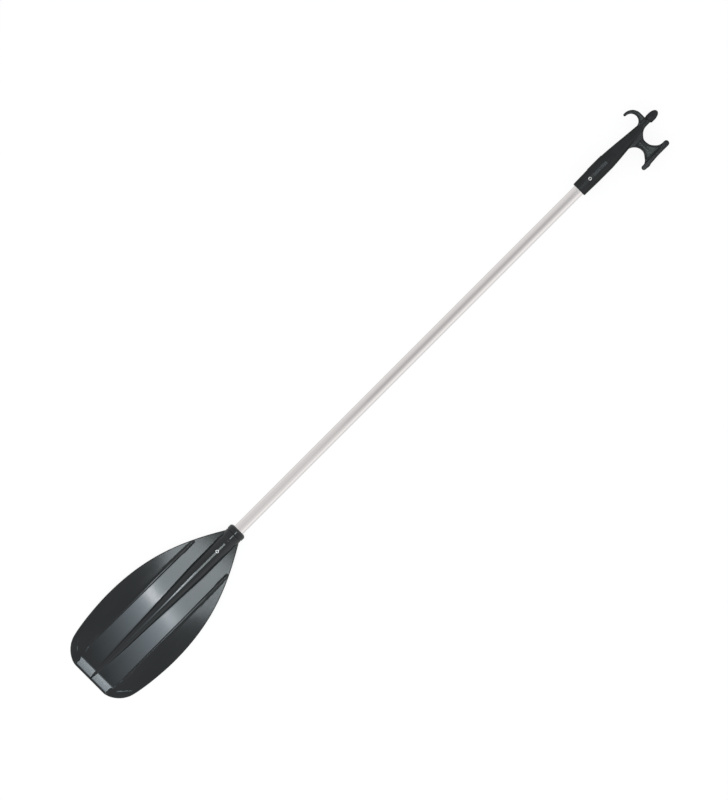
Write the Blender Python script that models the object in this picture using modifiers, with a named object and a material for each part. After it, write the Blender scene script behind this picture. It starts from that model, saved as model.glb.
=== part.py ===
"""Paddle with a boat-hook head, modelled as an assembly of separate pieces.

Lengths are in metres. The shaft's axis runs along X, with the hook's nose towards +X.
The blade's ribbed back faces up. The oar lies on the plane z = 0, with the origin under
the middle of its length. Distances called "from the tip" start at the blade's tip, and
distances called "from the nose" start at the hook's nose.
"""

import math

import bmesh
import bpy
from mathutils import Vector
from mathutils.geometry import interpolate_bezier

# Whole object
OVERALL_LENGTH = 1.500
CLEARANCE = 0.0003          # free gap between neighbouring pieces

# Shaft tube
SHAFT_DIAMETER = 0.0220
SHAFT_WALL = 0.0012

# Blade outline, from the tip, with half widths
BLADE_LENGTH = 0.3946       # tip to the collar's mouth
TIP_FLAT_HALF = 0.0363      # straight edge across the tip
TIP_CORNER_PULL = 0.0129    # how far the corner keeps to the straight side
SHOULDER_AT = 0.0322        # end of the tip's rounded corner
SHOULDER_HALF = 0.0764
SHOULDER_SLOPE = 0.37
SHOULDER_PULL_TO_TIP = 0.0199
SHOULDER_PULL_TO_NECK = 0.0173
WIDEST_AT = 0.1370
WIDEST_HALF = 0.0887
WIDEST_PULL_TO_TIP = 0.0347
WIDEST_PULL_TO_NECK = 0.1005
NECK_FROM_MOUTH = 0.0112    # where the outline ends, inside the collar
NECK_HALF = 0.0135
NECK_SLOPE = -0.601
NECK_PULL = 0.0792

# Blade plate
PLATE_THICKNESS = 0.0036
PLATE_EDGE_ROUND = 0.0012
TIP_DROP = 0.0180           # how far the tip bends down from the shaft's axis
BEND_START = 0.2320         # the plate is straight from the neck to here
WING_TILT = 0.1800          # fall of the wings outside the ribs at the tip, per unit of width
WING_TILT_END = 0.3100      # the wings are level from the neck to here
RIB_LINE_SHARE = 0.85       # a grid line lies under the rib, or at this share of a short half

# Spine and socket of the blade, with half widths
BLADE_BORE_DEPTH = 0.1150
BLADE_SOCKET_WALL = 0.0050
SPINE_FULL_FROM_BORE_END = 0.0054   # the spine has its full width from here to the mouth
SPINE_POINT_AT = 0.0043
SPINE_POINT_HALF = 0.0005
SPINE_FOOT_AT = 0.0160
SPINE_FOOT_HALF = 0.0025
SPINE_FOOT_SLOPE = 0.096
SPINE_FOOT_PULL = 0.0240
SPINE_WAIST_AT = 0.1000     # the spine widens slowest here
SPINE_WAIST_HALF = 0.0084
SPINE_WAIST_SLOPE = 0.032
SPINE_WAIST_PULL_TO_TIP = 0.0220
SPINE_WAIST_PULL_TO_NECK = 0.0500
SPINE_SOCKET_SLOPE = 0.0425
SPINE_SOCKET_PULL = 0.0400

# Collar rings round the mouth of the blade's socket
COLLAR_LENGTH = 0.0122
COLLAR_STEP = 0.0018        # the collar stands this far outside the socket
COLLAR_MOUTH_FLAT = 0.0003  # width of the flat face round the bore's chamfer
COLLAR_ROUND = 0.0052       # length of the rounded corner behind that face
COLLAR_ROUND_PULL = 0.0026
COLLAR_ROUND_RELIEF = 0.0004
COLLAR_GROOVE_WIDTH = 0.0016
COLLAR_GROOVE_DEPTH = 0.0016    # from the collar's outside to the groove's floor
NECK_RING_STEP = 0.0011
NECK_RING_LENGTH = 0.0100
NECK_RING_FADE = 0.0062     # length over which the neck ring runs out into the spine

# Side ribs on the blade's back
RIB_OFFSET = 0.0452         # rib centre from the shaft's axis
RIB_START = 0.0196
RIB_WIDTH_AT_TIP = 0.0026
RIB_WIDTH_AT_NECK = 0.0054
RIB_HEIGHT_AT_TIP = 0.0012
RIB_HEIGHT_AT_NECK = 0.0024
RIB_CREST_SHARE = 0.40
RIB_END_INSET = 0.0004      # full height ends this far short of the outline
RIB_END_FADE = 0.0022       # the ribs run out into the outline over this length
RIB_END_WIDTH_SHARE = 0.50
RIB_END_HEIGHT_SHARE = 0.33

# Thick rim round the tip, with a ramp between each side rib and the spine
TIP_RIM_HEIGHT = 0.0028
TIP_RIM_EDGE = 0.0039
RAMP_FOOT_AT = 0.0196
RAMP_INNER = 0.0020
RAMP_TO_RIB = 0.0028        # from the ramp's outer side to the rib's centre line
RIM_EDGE_INSET = 0.0007     # keeps the rim inside the plate's rounded edge

# Low lip across each corner of the tip, from beside the rib to the outline
LIP_START_AT = 0.0230
LIP_START_HALF = 0.0552
LIP_END_AT = 0.0440
LIP_END_HALF = 0.0740
LIP_HEIGHT = 0.0006
LIP_ENDS_SHARE = 0.30       # of the lip's height, left at its two ends
LIP_FADE_AT_START = 0.0120  # the lip slopes down to the plate over this width
LIP_FADE_AT_END = 0.0030

# Hook head body, from the nose, with radii
HEAD_LENGTH = 0.2081
HEAD_BORE_DEPTH = 0.0750
HEAD_SOCKET_END = 0.0050    # the body keeps its full width this far past the bore
HEAD_SOCKET_WALL = 0.0044
HEAD_MOUTH_RELIEF = 0.0008  # the mouth is this much slimmer than the socket
HEAD_MOUTH_CHAMFER = 0.0014
HEAD_WAIST_AT = 0.0600
HEAD_WAIST_RADIUS = 0.0091
HEAD_THROAT_AT = 0.0485
HEAD_THROAT_RADIUS = 0.0083
HEAD_NECK_AT = 0.0380
HEAD_NECK_RADIUS = 0.0049
BORE_CHAMFER = 0.0006

# Raised pad along the side of the hook head's socket
PAD_FROM_MOUTH = 0.0380
PAD_LENGTH = 0.0360
PAD_WIDTH = 0.0080
PAD_HEIGHT = 0.0006

# Nose bulb
NOSE_RADIUS = 0.0083
NOSE_REACH = 0.0160         # length of the rounded end
NOSE_LENGTH = 0.0240
NOSE_OFFSET = 0.0007        # the bulb's centre is this far to the curl's side
NOSE_BACK_RELIEF = 0.0003
NOSE_SHOULDER = 0.0015

# T-shaped foot, from the nose and from the shaft's axis
REAR_GAP_AT = 0.0935
REAR_GAP_DROP = 0.0319
REAR_GAP_RADIUS = 0.0208
FRONT_GAP_AT = 0.0343
FRONT_GAP_DROP = 0.0265
FRONT_GAP_RADIUS = 0.0216
STEM_THICKNESS = 0.0120
FOOT_THICKNESS = 0.0160
FOOT_DEPTH = 0.0112         # from the front gap's lowest point to the foot's flat face
FOOT_PAD_DEPTH = 0.0079     # of the wide pad where the stem meets it
FOOT_FACE_END = 0.0590
FOOT_ARCH_AT = 0.0780
FOOT_ARCH_DEPTH = 0.0014    # below the flat face
FOOT_HEEL_AT = 0.0835
FOOT_HEEL_DEPTH = 0.0030
REAR_HORN_AT = 0.0929
REAR_HORN_RADIUS = 0.0042
FRONT_HORN_AT = 0.0310
HEAD_EDGE_ROUND = 0.0015
REAR_GAP_TURN = 88.0        # degrees that the stem's edge runs down round each gap
FRONT_GAP_TURN = 88.0
REAR_HORN_TURN = 160.0      # degrees round the horn's end, from its upper side to the heel

# Curled hook
CURL_AT = 0.0485
CURL_INNER_RADIUS = 0.0140
CURL_BACK_DEPTH = 0.0087    # between the arcs, on the nose's side
CURL_TIP_DEPTH = 0.0042
CURL_ARC_SHIFT = 0.0020     # the outer arc's centre is this much nearer to the nose
CURL_TIP_TURN = 3.0         # degrees past the top of the curl
CURL_THICKNESS = 0.0090

# Pockets in the faces of the stem and of the curl
STEM_RIM_WIDTH = 0.0032
STEM_WEB = 0.0060
STEM_POCKET_FROM_WAIST = 0.0074
STEM_POCKET_FROM_PAD = 0.0015
CURL_RIM_WIDTH = 0.0027
CURL_WEB = 0.0050
CURL_POCKET_TOP_TURN = 30.0  # degrees that the curl's pocket runs up the curl

# Blind rivets
RIVET_BODY_DIAMETER = 0.0040
RIVET_HEAD_DIAMETER = 0.0075
RIVET_HEAD_HEIGHT = 0.0012
RIVET_BORE = 0.0024
RIVET_TAIL_DIAMETER = 0.0060
RIVET_TAIL_LENGTH = 0.0026
RIVET_TAIL_FULL_SHARE = 0.33    # of the tail's length, before it narrows to the body again
RIVET_SEAT_MARGIN = 0.0001  # the seat is cut this much deeper than the round wall needs
BLADE_RIVET_FROM_MOUTH = 0.0566
HEAD_RIVET_FROM_MOUTH = 0.0294
MANDREL_RECESS = 0.0005
MANDREL_HEAD_DIAMETER = 0.0034
MANDREL_HEAD_LENGTH = 0.0016

# Foam plugs
PLUG_INSET = 0.0020
PLUG_RIVET_MARGIN = 0.0120
PLUG_EDGE_ROUND = 0.0008

# Numbers of sides, rows and steps
SHAFT_SIDES = 48
SPINE_SIDES = 32
RIVET_SIDES = 24
MANDREL_SIDES = 16
PLATE_INNER_ROWS = 4
PLATE_OUTER_ROWS = 4
CORNER_STEPS = 9
SIDE_STEPS = 8
NECK_STEPS = 18
SPINE_TIP_STEPS = 8
SPINE_NECK_STEPS = 14
RIB_STEPS = 16
RAMP_STEPS = 6
LIP_STEPS = 4
COLLAR_ROUND_STEPS = 5
EDGE_SEGMENTS = 2
NOSE_STEPS = 7
GAP_STEPS = 16
HORN_STEPS = 9
CURL_OUTER_STEPS = 12
CURL_INNER_STEPS = 15
CURL_TIP_STEPS = 6
STEM_POCKET_STEPS = 10
CURL_POCKET_OUTER_STEPS = 3
CURL_POCKET_INNER_STEPS = 8
RIVET_HEAD_STEPS = 3

# Tolerances and angles of the modelling tools
MERGE_DISTANCE = 0.00001
CUT_MARGIN = 0.0012         # how far a cutter stands out of the piece that it cuts
BEVEL_ANGLE = 60.0
SMOOTH_ANGLE = 35.0

# Radii and places that follow from the sizes above
SHAFT_RADIUS = SHAFT_DIAMETER / 2
SHAFT_BORE_RADIUS = SHAFT_RADIUS - SHAFT_WALL
SOCKET_BORE_RADIUS = SHAFT_RADIUS + CLEARANCE
BLADE_SOCKET_RADIUS = SOCKET_BORE_RADIUS + BLADE_SOCKET_WALL
HEAD_SOCKET_RADIUS = SOCKET_BORE_RADIUS + HEAD_SOCKET_WALL
TIP_X = -OVERALL_LENGTH / 2
NOSE_X = OVERALL_LENGTH / 2
BLADE_MOUTH_X = TIP_X + BLADE_LENGTH
HEAD_MOUTH_X = NOSE_X - HEAD_LENGTH
SHAFT_START_X = BLADE_MOUTH_X - BLADE_BORE_DEPTH + CLEARANCE
SHAFT_END_X = HEAD_MOUTH_X + HEAD_BORE_DEPTH - CLEARANCE
BLADE_RIVET_X = BLADE_MOUTH_X - BLADE_RIVET_FROM_MOUTH
HEAD_RIVET_X = HEAD_MOUTH_X + HEAD_RIVET_FROM_MOUTH
NECK_AT = BLADE_LENGTH - NECK_FROM_MOUTH
SPINE_FULL_AT = BLADE_LENGTH - BLADE_BORE_DEPTH + SPINE_FULL_FROM_BORE_END
HEAD_TAPER_START = HEAD_LENGTH - HEAD_BORE_DEPTH - HEAD_SOCKET_END
FOOT_FACE_DROP = FRONT_GAP_DROP + FRONT_GAP_RADIUS + FOOT_DEPTH
FRONT_HORN_RADIUS = FOOT_DEPTH / 2


def remove_everything():
    for obj in list(bpy.data.objects):
        bpy.data.objects.remove(obj, do_unlink=True)


def new_collection(name):
    collection = bpy.data.collections.new(name)
    bpy.context.scene.collection.children.link(collection)
    return collection


def new_material(name, colour, roughness, metallic=0.0):
    material = bpy.data.materials.new(name)
    material.use_nodes = True
    shader = material.node_tree.nodes["Principled BSDF"]
    shader.inputs["Base Color"].default_value = (*colour, 1.0)
    shader.inputs["Roughness"].default_value = roughness
    shader.inputs["Metallic"].default_value = metallic
    return material


def mesh_object(name, bm, collection):
    bmesh.ops.recalc_face_normals(bm, faces=bm.faces)
    mesh = bpy.data.meshes.new(name)
    bm.to_mesh(mesh)
    bm.free()
    obj = bpy.data.objects.new(name, mesh)
    collection.objects.link(obj)
    return obj


def turned(name, profile, sides, collection):
    """Turn (radius, height) points round local Z, listed from the top down the outer side."""
    mesh = bpy.data.meshes.new(name)
    edges = [(i, i + 1) for i in range(len(profile) - 1)]
    if profile[0][0] > 0:
        edges.append((len(profile) - 1, 0))
    mesh.from_pydata([(radius, 0.0, height) for radius, height in profile], edges, [])
    obj = bpy.data.objects.new(name, mesh)
    collection.objects.link(obj)
    screw = obj.modifiers.new("Turn", "SCREW")
    screw.axis = "Z"
    screw.steps = sides
    screw.render_steps = sides
    screw.use_merge_vertices = True
    screw.merge_threshold = MERGE_DISTANCE
    screw.use_smooth_shade = True
    return obj


def lay_along_x(obj, x, y=0.0):
    """Point the object's local Z along +X, with its origin at x and y."""
    obj.rotation_euler = (0.0, math.radians(90), 0.0)
    obj.location = (x, y, 0.0)


def loft(name, rings, collection):
    """Join rings of equal counts of points, one after another, and cap both ends."""
    bm = bmesh.new()
    rows = [[bm.verts.new(point) for point in ring] for ring in rings]
    count = len(rows[0])
    for row, following in zip(rows, rows[1:]):
        for i in range(count):
            j = (i + 1) % count
            bm.faces.new((row[i], row[j], following[j], following[i]))
    bm.faces.new(rows[0])
    bm.faces.new(rows[-1])
    return mesh_object(name, bm, collection)


def arc(centre, radius, start, end, steps):
    """Points of an arc in degrees, both ends included."""
    points = []
    for i in range(steps + 1):
        angle = math.radians(start + (end - start) * i / steps)
        points.append((centre[0] + radius * math.cos(angle), centre[1] + radius * math.sin(angle)))
    return points


def flat_plate(name, outline, thickness, edge_round, collection):
    """A flat outline in the XY plane, thick along Z, with rounded edges, as a mesh object."""
    curve = bpy.data.curves.new(name, "CURVE")
    curve.dimensions = "2D"
    curve.fill_mode = "BOTH"
    curve.extrude = thickness / 2 - edge_round
    curve.bevel_depth = edge_round
    curve.bevel_resolution = EDGE_SEGMENTS - 1
    curve.offset = -edge_round
    spline = curve.splines.new("POLY")
    spline.points.add(len(outline) - 1)
    for point, (x, y) in zip(spline.points, outline):
        point.co = (x, y, 0.0, 1.0)
    spline.use_cyclic_u = True
    guide = bpy.data.objects.new(name + "_outline", curve)
    collection.objects.link(guide)
    evaluated = guide.evaluated_get(bpy.context.evaluated_depsgraph_get())
    mesh = bpy.data.meshes.new_from_object(evaluated)
    bm = bmesh.new()
    bm.from_mesh(mesh)
    bmesh.ops.remove_doubles(bm, verts=bm.verts, dist=MERGE_DISTANCE)
    bpy.data.meshes.remove(mesh)
    bpy.data.objects.remove(guide, do_unlink=True)
    return mesh_object(name, bm, collection)


def combine(obj, operation, other):
    """Add a Boolean modifier that joins or cuts with a helper object, and hide the helper."""
    boolean = obj.modifiers.new(other.name, "BOOLEAN")
    boolean.operation = operation
    boolean.solver = "EXACT"
    boolean.object = other
    other.hide_render = True
    other.display_type = "WIRE"


def settle(obj):
    """Fix the evaluated shape as the object's own mesh, smooth between its sharp edges."""
    evaluated = obj.evaluated_get(bpy.context.evaluated_depsgraph_get())
    mesh = bpy.data.meshes.new_from_object(evaluated)
    mesh.name = obj.name
    mesh.shade_smooth()
    mesh.set_sharp_from_angle(angle=math.radians(SMOOTH_ANGLE))
    obj.modifiers.clear()
    obj.data = mesh


def lowest_point(obj):
    evaluated = obj.evaluated_get(bpy.context.evaluated_depsgraph_get())
    return min(vert.co.z for vert in evaluated.data.vertices)


def mix(low, high, share):
    return low + (high - low) * share


# The blade's shape

def blade_outline():
    """Half outline of the plate as (from the tip, half width) points, tip to neck."""
    tip = Vector((0.0, TIP_FLAT_HALF, 0.0))
    shoulder = Vector((SHOULDER_AT, SHOULDER_HALF, 0.0))
    widest = Vector((WIDEST_AT, WIDEST_HALF, 0.0))
    neck = Vector((NECK_AT, NECK_HALF, 0.0))
    shoulder_way = Vector((1.0, SHOULDER_SLOPE, 0.0))
    neck_way = Vector((1.0, NECK_SLOPE, 0.0))
    along = Vector((1.0, 0.0, 0.0))
    across = Vector((0.0, 1.0, 0.0))
    corner = interpolate_bezier(tip, tip + across * TIP_CORNER_PULL,
                                shoulder - shoulder_way * SHOULDER_PULL_TO_TIP,
                                shoulder, CORNER_STEPS + 1)
    side = interpolate_bezier(shoulder, shoulder + shoulder_way * SHOULDER_PULL_TO_NECK,
                              widest - along * WIDEST_PULL_TO_TIP, widest, SIDE_STEPS + 1)
    taper = interpolate_bezier(widest, widest + along * WIDEST_PULL_TO_NECK,
                               neck - neck_way * NECK_PULL, neck, NECK_STEPS + 1)
    return [(point.x, point.y) for point in corner + side[1:] + taper[1:]]


def value_at(points, place):
    """Straight-line interpolation in a list of (place, value) points."""
    for (low, low_value), (high, high_value) in zip(points, points[1:]):
        if place <= high:
            return mix(low_value, high_value, max(0.0, (place - low) / (high - low)))
    return points[-1][1]


def plate_height(from_tip, y):
    """Height of the plate's middle surface over the shaft's axis."""
    reach = max(0.0, BEND_START - from_tip)
    tilt = WING_TILT * max(0.0, 1 - from_tip / WING_TILT_END)
    return -TIP_DROP * (reach / BEND_START) ** 2 - tilt * max(0.0, abs(y) - RIB_OFFSET)


def on_plate(from_tip, y, rise=0.0):
    """A point above the plate's middle surface."""
    return Vector((TIP_X + from_tip, y, plate_height(from_tip, y) + rise))


def plate_top(from_tip, y, rise=0.0):
    """A point above the plate's upper face."""
    return on_plate(from_tip, y, PLATE_THICKNESS / 2 + rise)


def row_at(row, half):
    """Where a row of the plate's grid lies, counted outwards from the middle line."""
    rib_line = min(RIB_OFFSET, half * RIB_LINE_SHARE)
    if row <= PLATE_INNER_ROWS:
        return rib_line * row / PLATE_INNER_ROWS
    return mix(rib_line, half, (row - PLATE_INNER_ROWS) / PLATE_OUTER_ROWS)


def make_plate(name, collection):
    outline = blade_outline()
    last = len(outline) - 1
    rows = PLATE_INNER_ROWS + PLATE_OUTER_ROWS
    bm = bmesh.new()
    bmesh.ops.create_grid(bm, x_segments=last, y_segments=2 * rows, size=0.5)
    for vert in bm.verts:
        from_tip, half = outline[round((vert.co.x + 0.5) * last)]
        y = math.copysign(row_at(round(abs(vert.co.y) * 2 * rows), half), vert.co.y)
        vert.co = on_plate(from_tip, y, -PLATE_THICKNESS / 2)
    copied = bmesh.ops.extrude_face_region(bm, geom=bm.faces[:], use_keep_orig=True)
    upper = [item for item in copied["geom"] if isinstance(item, bmesh.types.BMVert)]
    bmesh.ops.translate(bm, vec=(0.0, 0.0, PLATE_THICKNESS), verts=upper)
    plate = mesh_object(name, bm, collection)
    bevel = plate.modifiers.new("Rounded edge", "BEVEL")
    bevel.width = PLATE_EDGE_ROUND
    bevel.segments = EDGE_SEGMENTS
    bevel.limit_method = "ANGLE"
    bevel.angle_limit = math.radians(BEVEL_ANGLE)
    weld = plate.modifiers.new("Welded corners", "WELD")
    weld.merge_threshold = MERGE_DISTANCE
    return plate


def spine_profile():
    """Half widths of the spine as (from the tip, half width) points, tip to mouth."""
    foot = Vector((SPINE_FOOT_AT, SPINE_FOOT_HALF, 0.0))
    waist = Vector((SPINE_WAIST_AT, SPINE_WAIST_HALF, 0.0))
    full = Vector((SPINE_FULL_AT, BLADE_SOCKET_RADIUS, 0.0))
    foot_way = Vector((1.0, SPINE_FOOT_SLOPE, 0.0))
    waist_way = Vector((1.0, SPINE_WAIST_SLOPE, 0.0))
    socket_way = Vector((1.0, SPINE_SOCKET_SLOPE, 0.0))
    slim = interpolate_bezier(foot, foot + foot_way * SPINE_FOOT_PULL,
                              waist - waist_way * SPINE_WAIST_PULL_TO_TIP, waist,
                              SPINE_TIP_STEPS + 1)
    stout = interpolate_bezier(waist, waist + waist_way * SPINE_WAIST_PULL_TO_NECK,
                               full - socket_way * SPINE_SOCKET_PULL, full,
                               SPINE_NECK_STEPS + 1)
    inside_collar = (BLADE_LENGTH - COLLAR_LENGTH / 2, BLADE_SOCKET_RADIUS)
    return ([(SPINE_POINT_AT, SPINE_POINT_HALF)]
            + [(point.x, point.y) for point in slim + stout[1:]] + [inside_collar])


def make_spine(collection):
    rings = []
    for from_tip, radius in spine_profile():
        ring = []
        for i in range(SPINE_SIDES):
            angle = 2 * math.pi * (i + 0.5) / SPINE_SIDES
            centre = on_plate(from_tip, 0.0)
            ring.append(centre + Vector((0.0, radius * math.cos(angle), radius * math.sin(angle))))
        rings.append(ring)
    return loft("spine", rings, collection)


def make_side_rib(side, collection):
    edge = [(half, place) for place, half in reversed(blade_outline())]
    end = value_at(edge, RIB_OFFSET + RIB_WIDTH_AT_NECK / 2) - RIB_END_INSET
    rings = []
    for i in range(RIB_STEPS + 1):
        share = i / RIB_STEPS
        width = mix(RIB_WIDTH_AT_TIP, RIB_WIDTH_AT_NECK, share)
        height = mix(RIB_HEIGHT_AT_TIP, RIB_HEIGHT_AT_NECK, share)
        rings.append(rib_section(side, mix(RIB_START, end, share), width, height))
    rings.append(rib_section(side, end + RIB_END_FADE, width * RIB_END_WIDTH_SHARE,
                             height * RIB_END_HEIGHT_SHARE))
    return loft("side_rib_right" if side < 0 else "side_rib_left", rings, collection)


def rib_section(side, from_tip, width, height):
    middle = side * RIB_OFFSET
    foot = width / 2
    crest = foot * RIB_CREST_SHARE
    return [on_plate(from_tip, middle - foot), on_plate(from_tip, middle + foot),
            plate_top(from_tip, middle + foot), plate_top(from_tip, middle + crest, height),
            plate_top(from_tip, middle - crest, height), plate_top(from_tip, middle - foot)]


def make_tip_ramp(side, collection):
    """The bright facet between the spine and a side rib, rising to the tip's edge."""
    outline = blade_outline()
    rings = []
    for i in range(RAMP_STEPS + 1):
        y = mix(RAMP_INNER, RIB_OFFSET - RAMP_TO_RIB, i / RAMP_STEPS)
        edge = RIM_EDGE_INSET + tip_edge_at(outline, y)
        rings.append([on_plate(edge, side * y), plate_top(edge, side * y, TIP_RIM_HEIGHT),
                      plate_top(TIP_RIM_EDGE, side * y, TIP_RIM_HEIGHT),
                      plate_top(RAMP_FOOT_AT, side * y), on_plate(RAMP_FOOT_AT, side * y)])
    return loft("tip_ramp_right" if side < 0 else "tip_ramp_left", rings, collection)


def tip_edge_at(outline, y):
    """Distance from the tip to the outline, near the tip, at half width y."""
    return value_at([(half, place) for place, half in outline[:CORNER_STEPS + 1]], y)


def make_tip_lip(side, collection):
    """The low lip that cuts off the tip's rounded corner and slopes down to the outline."""
    start = Vector((LIP_START_AT, LIP_START_HALF))
    end = Vector((LIP_END_AT, LIP_END_HALF))
    way = (end - start).normalized()
    outward = Vector((-way.y, way.x))
    rings = []
    for i in range(LIP_STEPS + 1):
        share = i / LIP_STEPS
        crest = start.lerp(end, share)
        foot = crest + outward * mix(LIP_FADE_AT_START, LIP_FADE_AT_END, share)
        height = LIP_HEIGHT * mix(1.0, LIP_ENDS_SHARE, (2 * share - 1) ** 4)
        rings.append([on_plate(crest.x, side * crest.y),
                      plate_top(crest.x, side * crest.y, height),
                      plate_top(foot.x, side * foot.y), on_plate(foot.x, side * foot.y)])
    return loft("tip_lip_right" if side < 0 else "tip_lip_left", rings, collection)


def make_collar(collection):
    """The collar and the neck ring, with a groove between them, listed from the mouth down."""
    ring = BLADE_SOCKET_RADIUS + COLLAR_STEP
    neck_ring = BLADE_SOCKET_RADIUS + NECK_RING_STEP
    face = SOCKET_BORE_RADIUS + BORE_CHAMFER + COLLAR_MOUTH_FLAT
    corner = interpolate_bezier(Vector((face, 0.0)), Vector((face + COLLAR_ROUND_PULL, 0.0)),
                                Vector((ring - COLLAR_ROUND_RELIEF, -COLLAR_ROUND_PULL)),
                                Vector((ring, -COLLAR_ROUND)), COLLAR_ROUND_STEPS + 1)
    groove = -COLLAR_LENGTH
    run_out = groove - NECK_RING_LENGTH
    profile = [(0.0, 0.0)] + [(point.x, point.y) for point in corner]
    profile += [(ring, groove + COLLAR_GROOVE_WIDTH / 2),
                (ring - COLLAR_GROOVE_DEPTH, groove + COLLAR_GROOVE_WIDTH / 4),
                (ring - COLLAR_GROOVE_DEPTH, groove - COLLAR_GROOVE_WIDTH / 4),
                (neck_ring, groove - COLLAR_GROOVE_WIDTH / 2), (neck_ring, run_out),
                (BLADE_SOCKET_RADIUS - NECK_RING_STEP / 2, run_out - NECK_RING_FADE),
                (0.0, run_out - NECK_RING_FADE)]
    collar = turned("collar", profile, SHAFT_SIDES, collection)
    lay_along_x(collar, BLADE_MOUTH_X)
    return collar


def make_socket_bore(collection):
    profile = [(0.0, CUT_MARGIN), (SOCKET_BORE_RADIUS + BORE_CHAMFER + CUT_MARGIN, CUT_MARGIN),
               (SOCKET_BORE_RADIUS, -BORE_CHAMFER), (SOCKET_BORE_RADIUS, -BLADE_BORE_DEPTH),
               (0.0, -BLADE_BORE_DEPTH)]
    bore = turned("blade_bore", profile, SHAFT_SIDES, collection)
    lay_along_x(bore, BLADE_MOUTH_X)
    return bore


def rivet_seat_height(wall_radius):
    """Height of the flat that seats a rivet's head in the top of a round wall."""
    seat_radius = RIVET_HEAD_DIAMETER / 2 + CLEARANCE
    return math.sqrt(wall_radius ** 2 - seat_radius ** 2) - RIVET_SEAT_MARGIN


def make_rivet_cutters(name, x, wall_radius, collection):
    """A spot face that seats the rivet's head, and the hole through the wall below it."""
    seat = rivet_seat_height(wall_radius)
    above = wall_radius + CUT_MARGIN
    seat_radius = RIVET_HEAD_DIAMETER / 2 + CLEARANCE
    spot = turned(name + "_spot_face", [(0.0, above), (seat_radius, above), (seat_radius, seat),
                                        (0.0, seat)], RIVET_SIDES, collection)
    hole_radius = RIVET_BODY_DIAMETER / 2 + CLEARANCE
    hole = turned(name + "_hole", [(0.0, above), (hole_radius, above), (hole_radius, 0.0),
                                   (0.0, 0.0)], RIVET_SIDES, collection)
    for cutter in (spot, hole):
        cutter.location = (x, 0.0, 0.0)
    return spot, hole


def make_blade(parts, helpers):
    blade = make_plate("paddle_blade", parts)
    lowest = lowest_point(blade)
    joined = [make_spine(helpers), make_collar(helpers)]
    for side in (-1, 1):
        joined += [make_side_rib(side, helpers), make_tip_ramp(side, helpers),
                   make_tip_lip(side, helpers)]
    for piece in joined:
        combine(blade, "UNION", piece)
    combine(blade, "DIFFERENCE", make_socket_bore(helpers))
    for cutter in make_rivet_cutters("blade_rivet", BLADE_RIVET_X, BLADE_SOCKET_RADIUS, helpers):
        combine(blade, "DIFFERENCE", cutter)
    return blade, lowest


# The hook head's shape, in a frame with its origin at the nose

def head_body_profile():
    bore_end = -HEAD_LENGTH + HEAD_BORE_DEPTH
    mouth = HEAD_SOCKET_RADIUS - HEAD_MOUTH_RELIEF
    return [(0.0, -NOSE_LENGTH), (HEAD_NECK_RADIUS, -NOSE_LENGTH),
            (HEAD_NECK_RADIUS, -HEAD_NECK_AT), (HEAD_THROAT_RADIUS, -HEAD_THROAT_AT),
            (HEAD_WAIST_RADIUS, -HEAD_WAIST_AT), (HEAD_SOCKET_RADIUS, -HEAD_TAPER_START),
            (HEAD_SOCKET_RADIUS, -HEAD_LENGTH + PAD_FROM_MOUTH),
            (mouth, -HEAD_LENGTH + HEAD_MOUTH_CHAMFER),
            (mouth - HEAD_MOUTH_CHAMFER / 2, -HEAD_LENGTH),
            (SOCKET_BORE_RADIUS + BORE_CHAMFER, -HEAD_LENGTH),
            (SOCKET_BORE_RADIUS, -HEAD_LENGTH + BORE_CHAMFER),
            (SOCKET_BORE_RADIUS, bore_end), (0.0, bore_end)]


def make_nose(collection):
    profile = [(NOSE_RADIUS * across, NOSE_REACH * (along - 1))
               for along, across in arc((0.0, 0.0), 1.0, 0, 90, NOSE_STEPS)]
    profile[0] = (0.0, 0.0)
    profile += [(NOSE_RADIUS - NOSE_BACK_RELIEF, -NOSE_LENGTH),
                (HEAD_NECK_RADIUS, -NOSE_LENGTH - NOSE_SHOULDER),
                (0.0, -NOSE_LENGTH - NOSE_SHOULDER)]
    nose = turned("nose_bulb", profile, RIVET_SIDES, collection)
    lay_along_x(nose, NOSE_X, NOSE_OFFSET)
    return nose


def make_pad(collection):
    """A flat-topped pad on the socket's side, sunk halfway into the wall."""
    depth = HEAD_SOCKET_WALL / 2 + PAD_HEIGHT
    bm = bmesh.new()
    bmesh.ops.create_cube(bm, size=1.0)
    bmesh.ops.scale(bm, vec=(PAD_LENGTH, depth, PAD_WIDTH), verts=bm.verts)
    pad = mesh_object("socket_pad", bm, collection)
    pad.location = (HEAD_MOUTH_X + PAD_FROM_MOUTH + PAD_LENGTH / 2,
                    HEAD_SOCKET_RADIUS + PAD_HEIGHT - depth / 2, 0.0)
    return pad


def stem_outline():
    rear = (-REAR_GAP_AT, -REAR_GAP_DROP)
    front = (-FRONT_GAP_AT, -FRONT_GAP_DROP)
    inside = HEAD_NECK_RADIUS / 2
    rear_arc = arc(rear, REAR_GAP_RADIUS, 90, -REAR_GAP_TURN, GAP_STEPS)
    front_arc = arc(front, FRONT_GAP_RADIUS, 180 + FRONT_GAP_TURN, 90, GAP_STEPS)
    return ([(-NOSE_LENGTH, inside), (-REAR_GAP_AT, inside)] + rear_arc
            + [(rear_arc[-1][0], rear_arc[-1][1] - REAR_HORN_RADIUS),
               (front_arc[0][0], front_arc[0][1] - FRONT_HORN_RADIUS)]
            + front_arc + [(-NOSE_LENGTH, front_arc[-1][1])])


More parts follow.
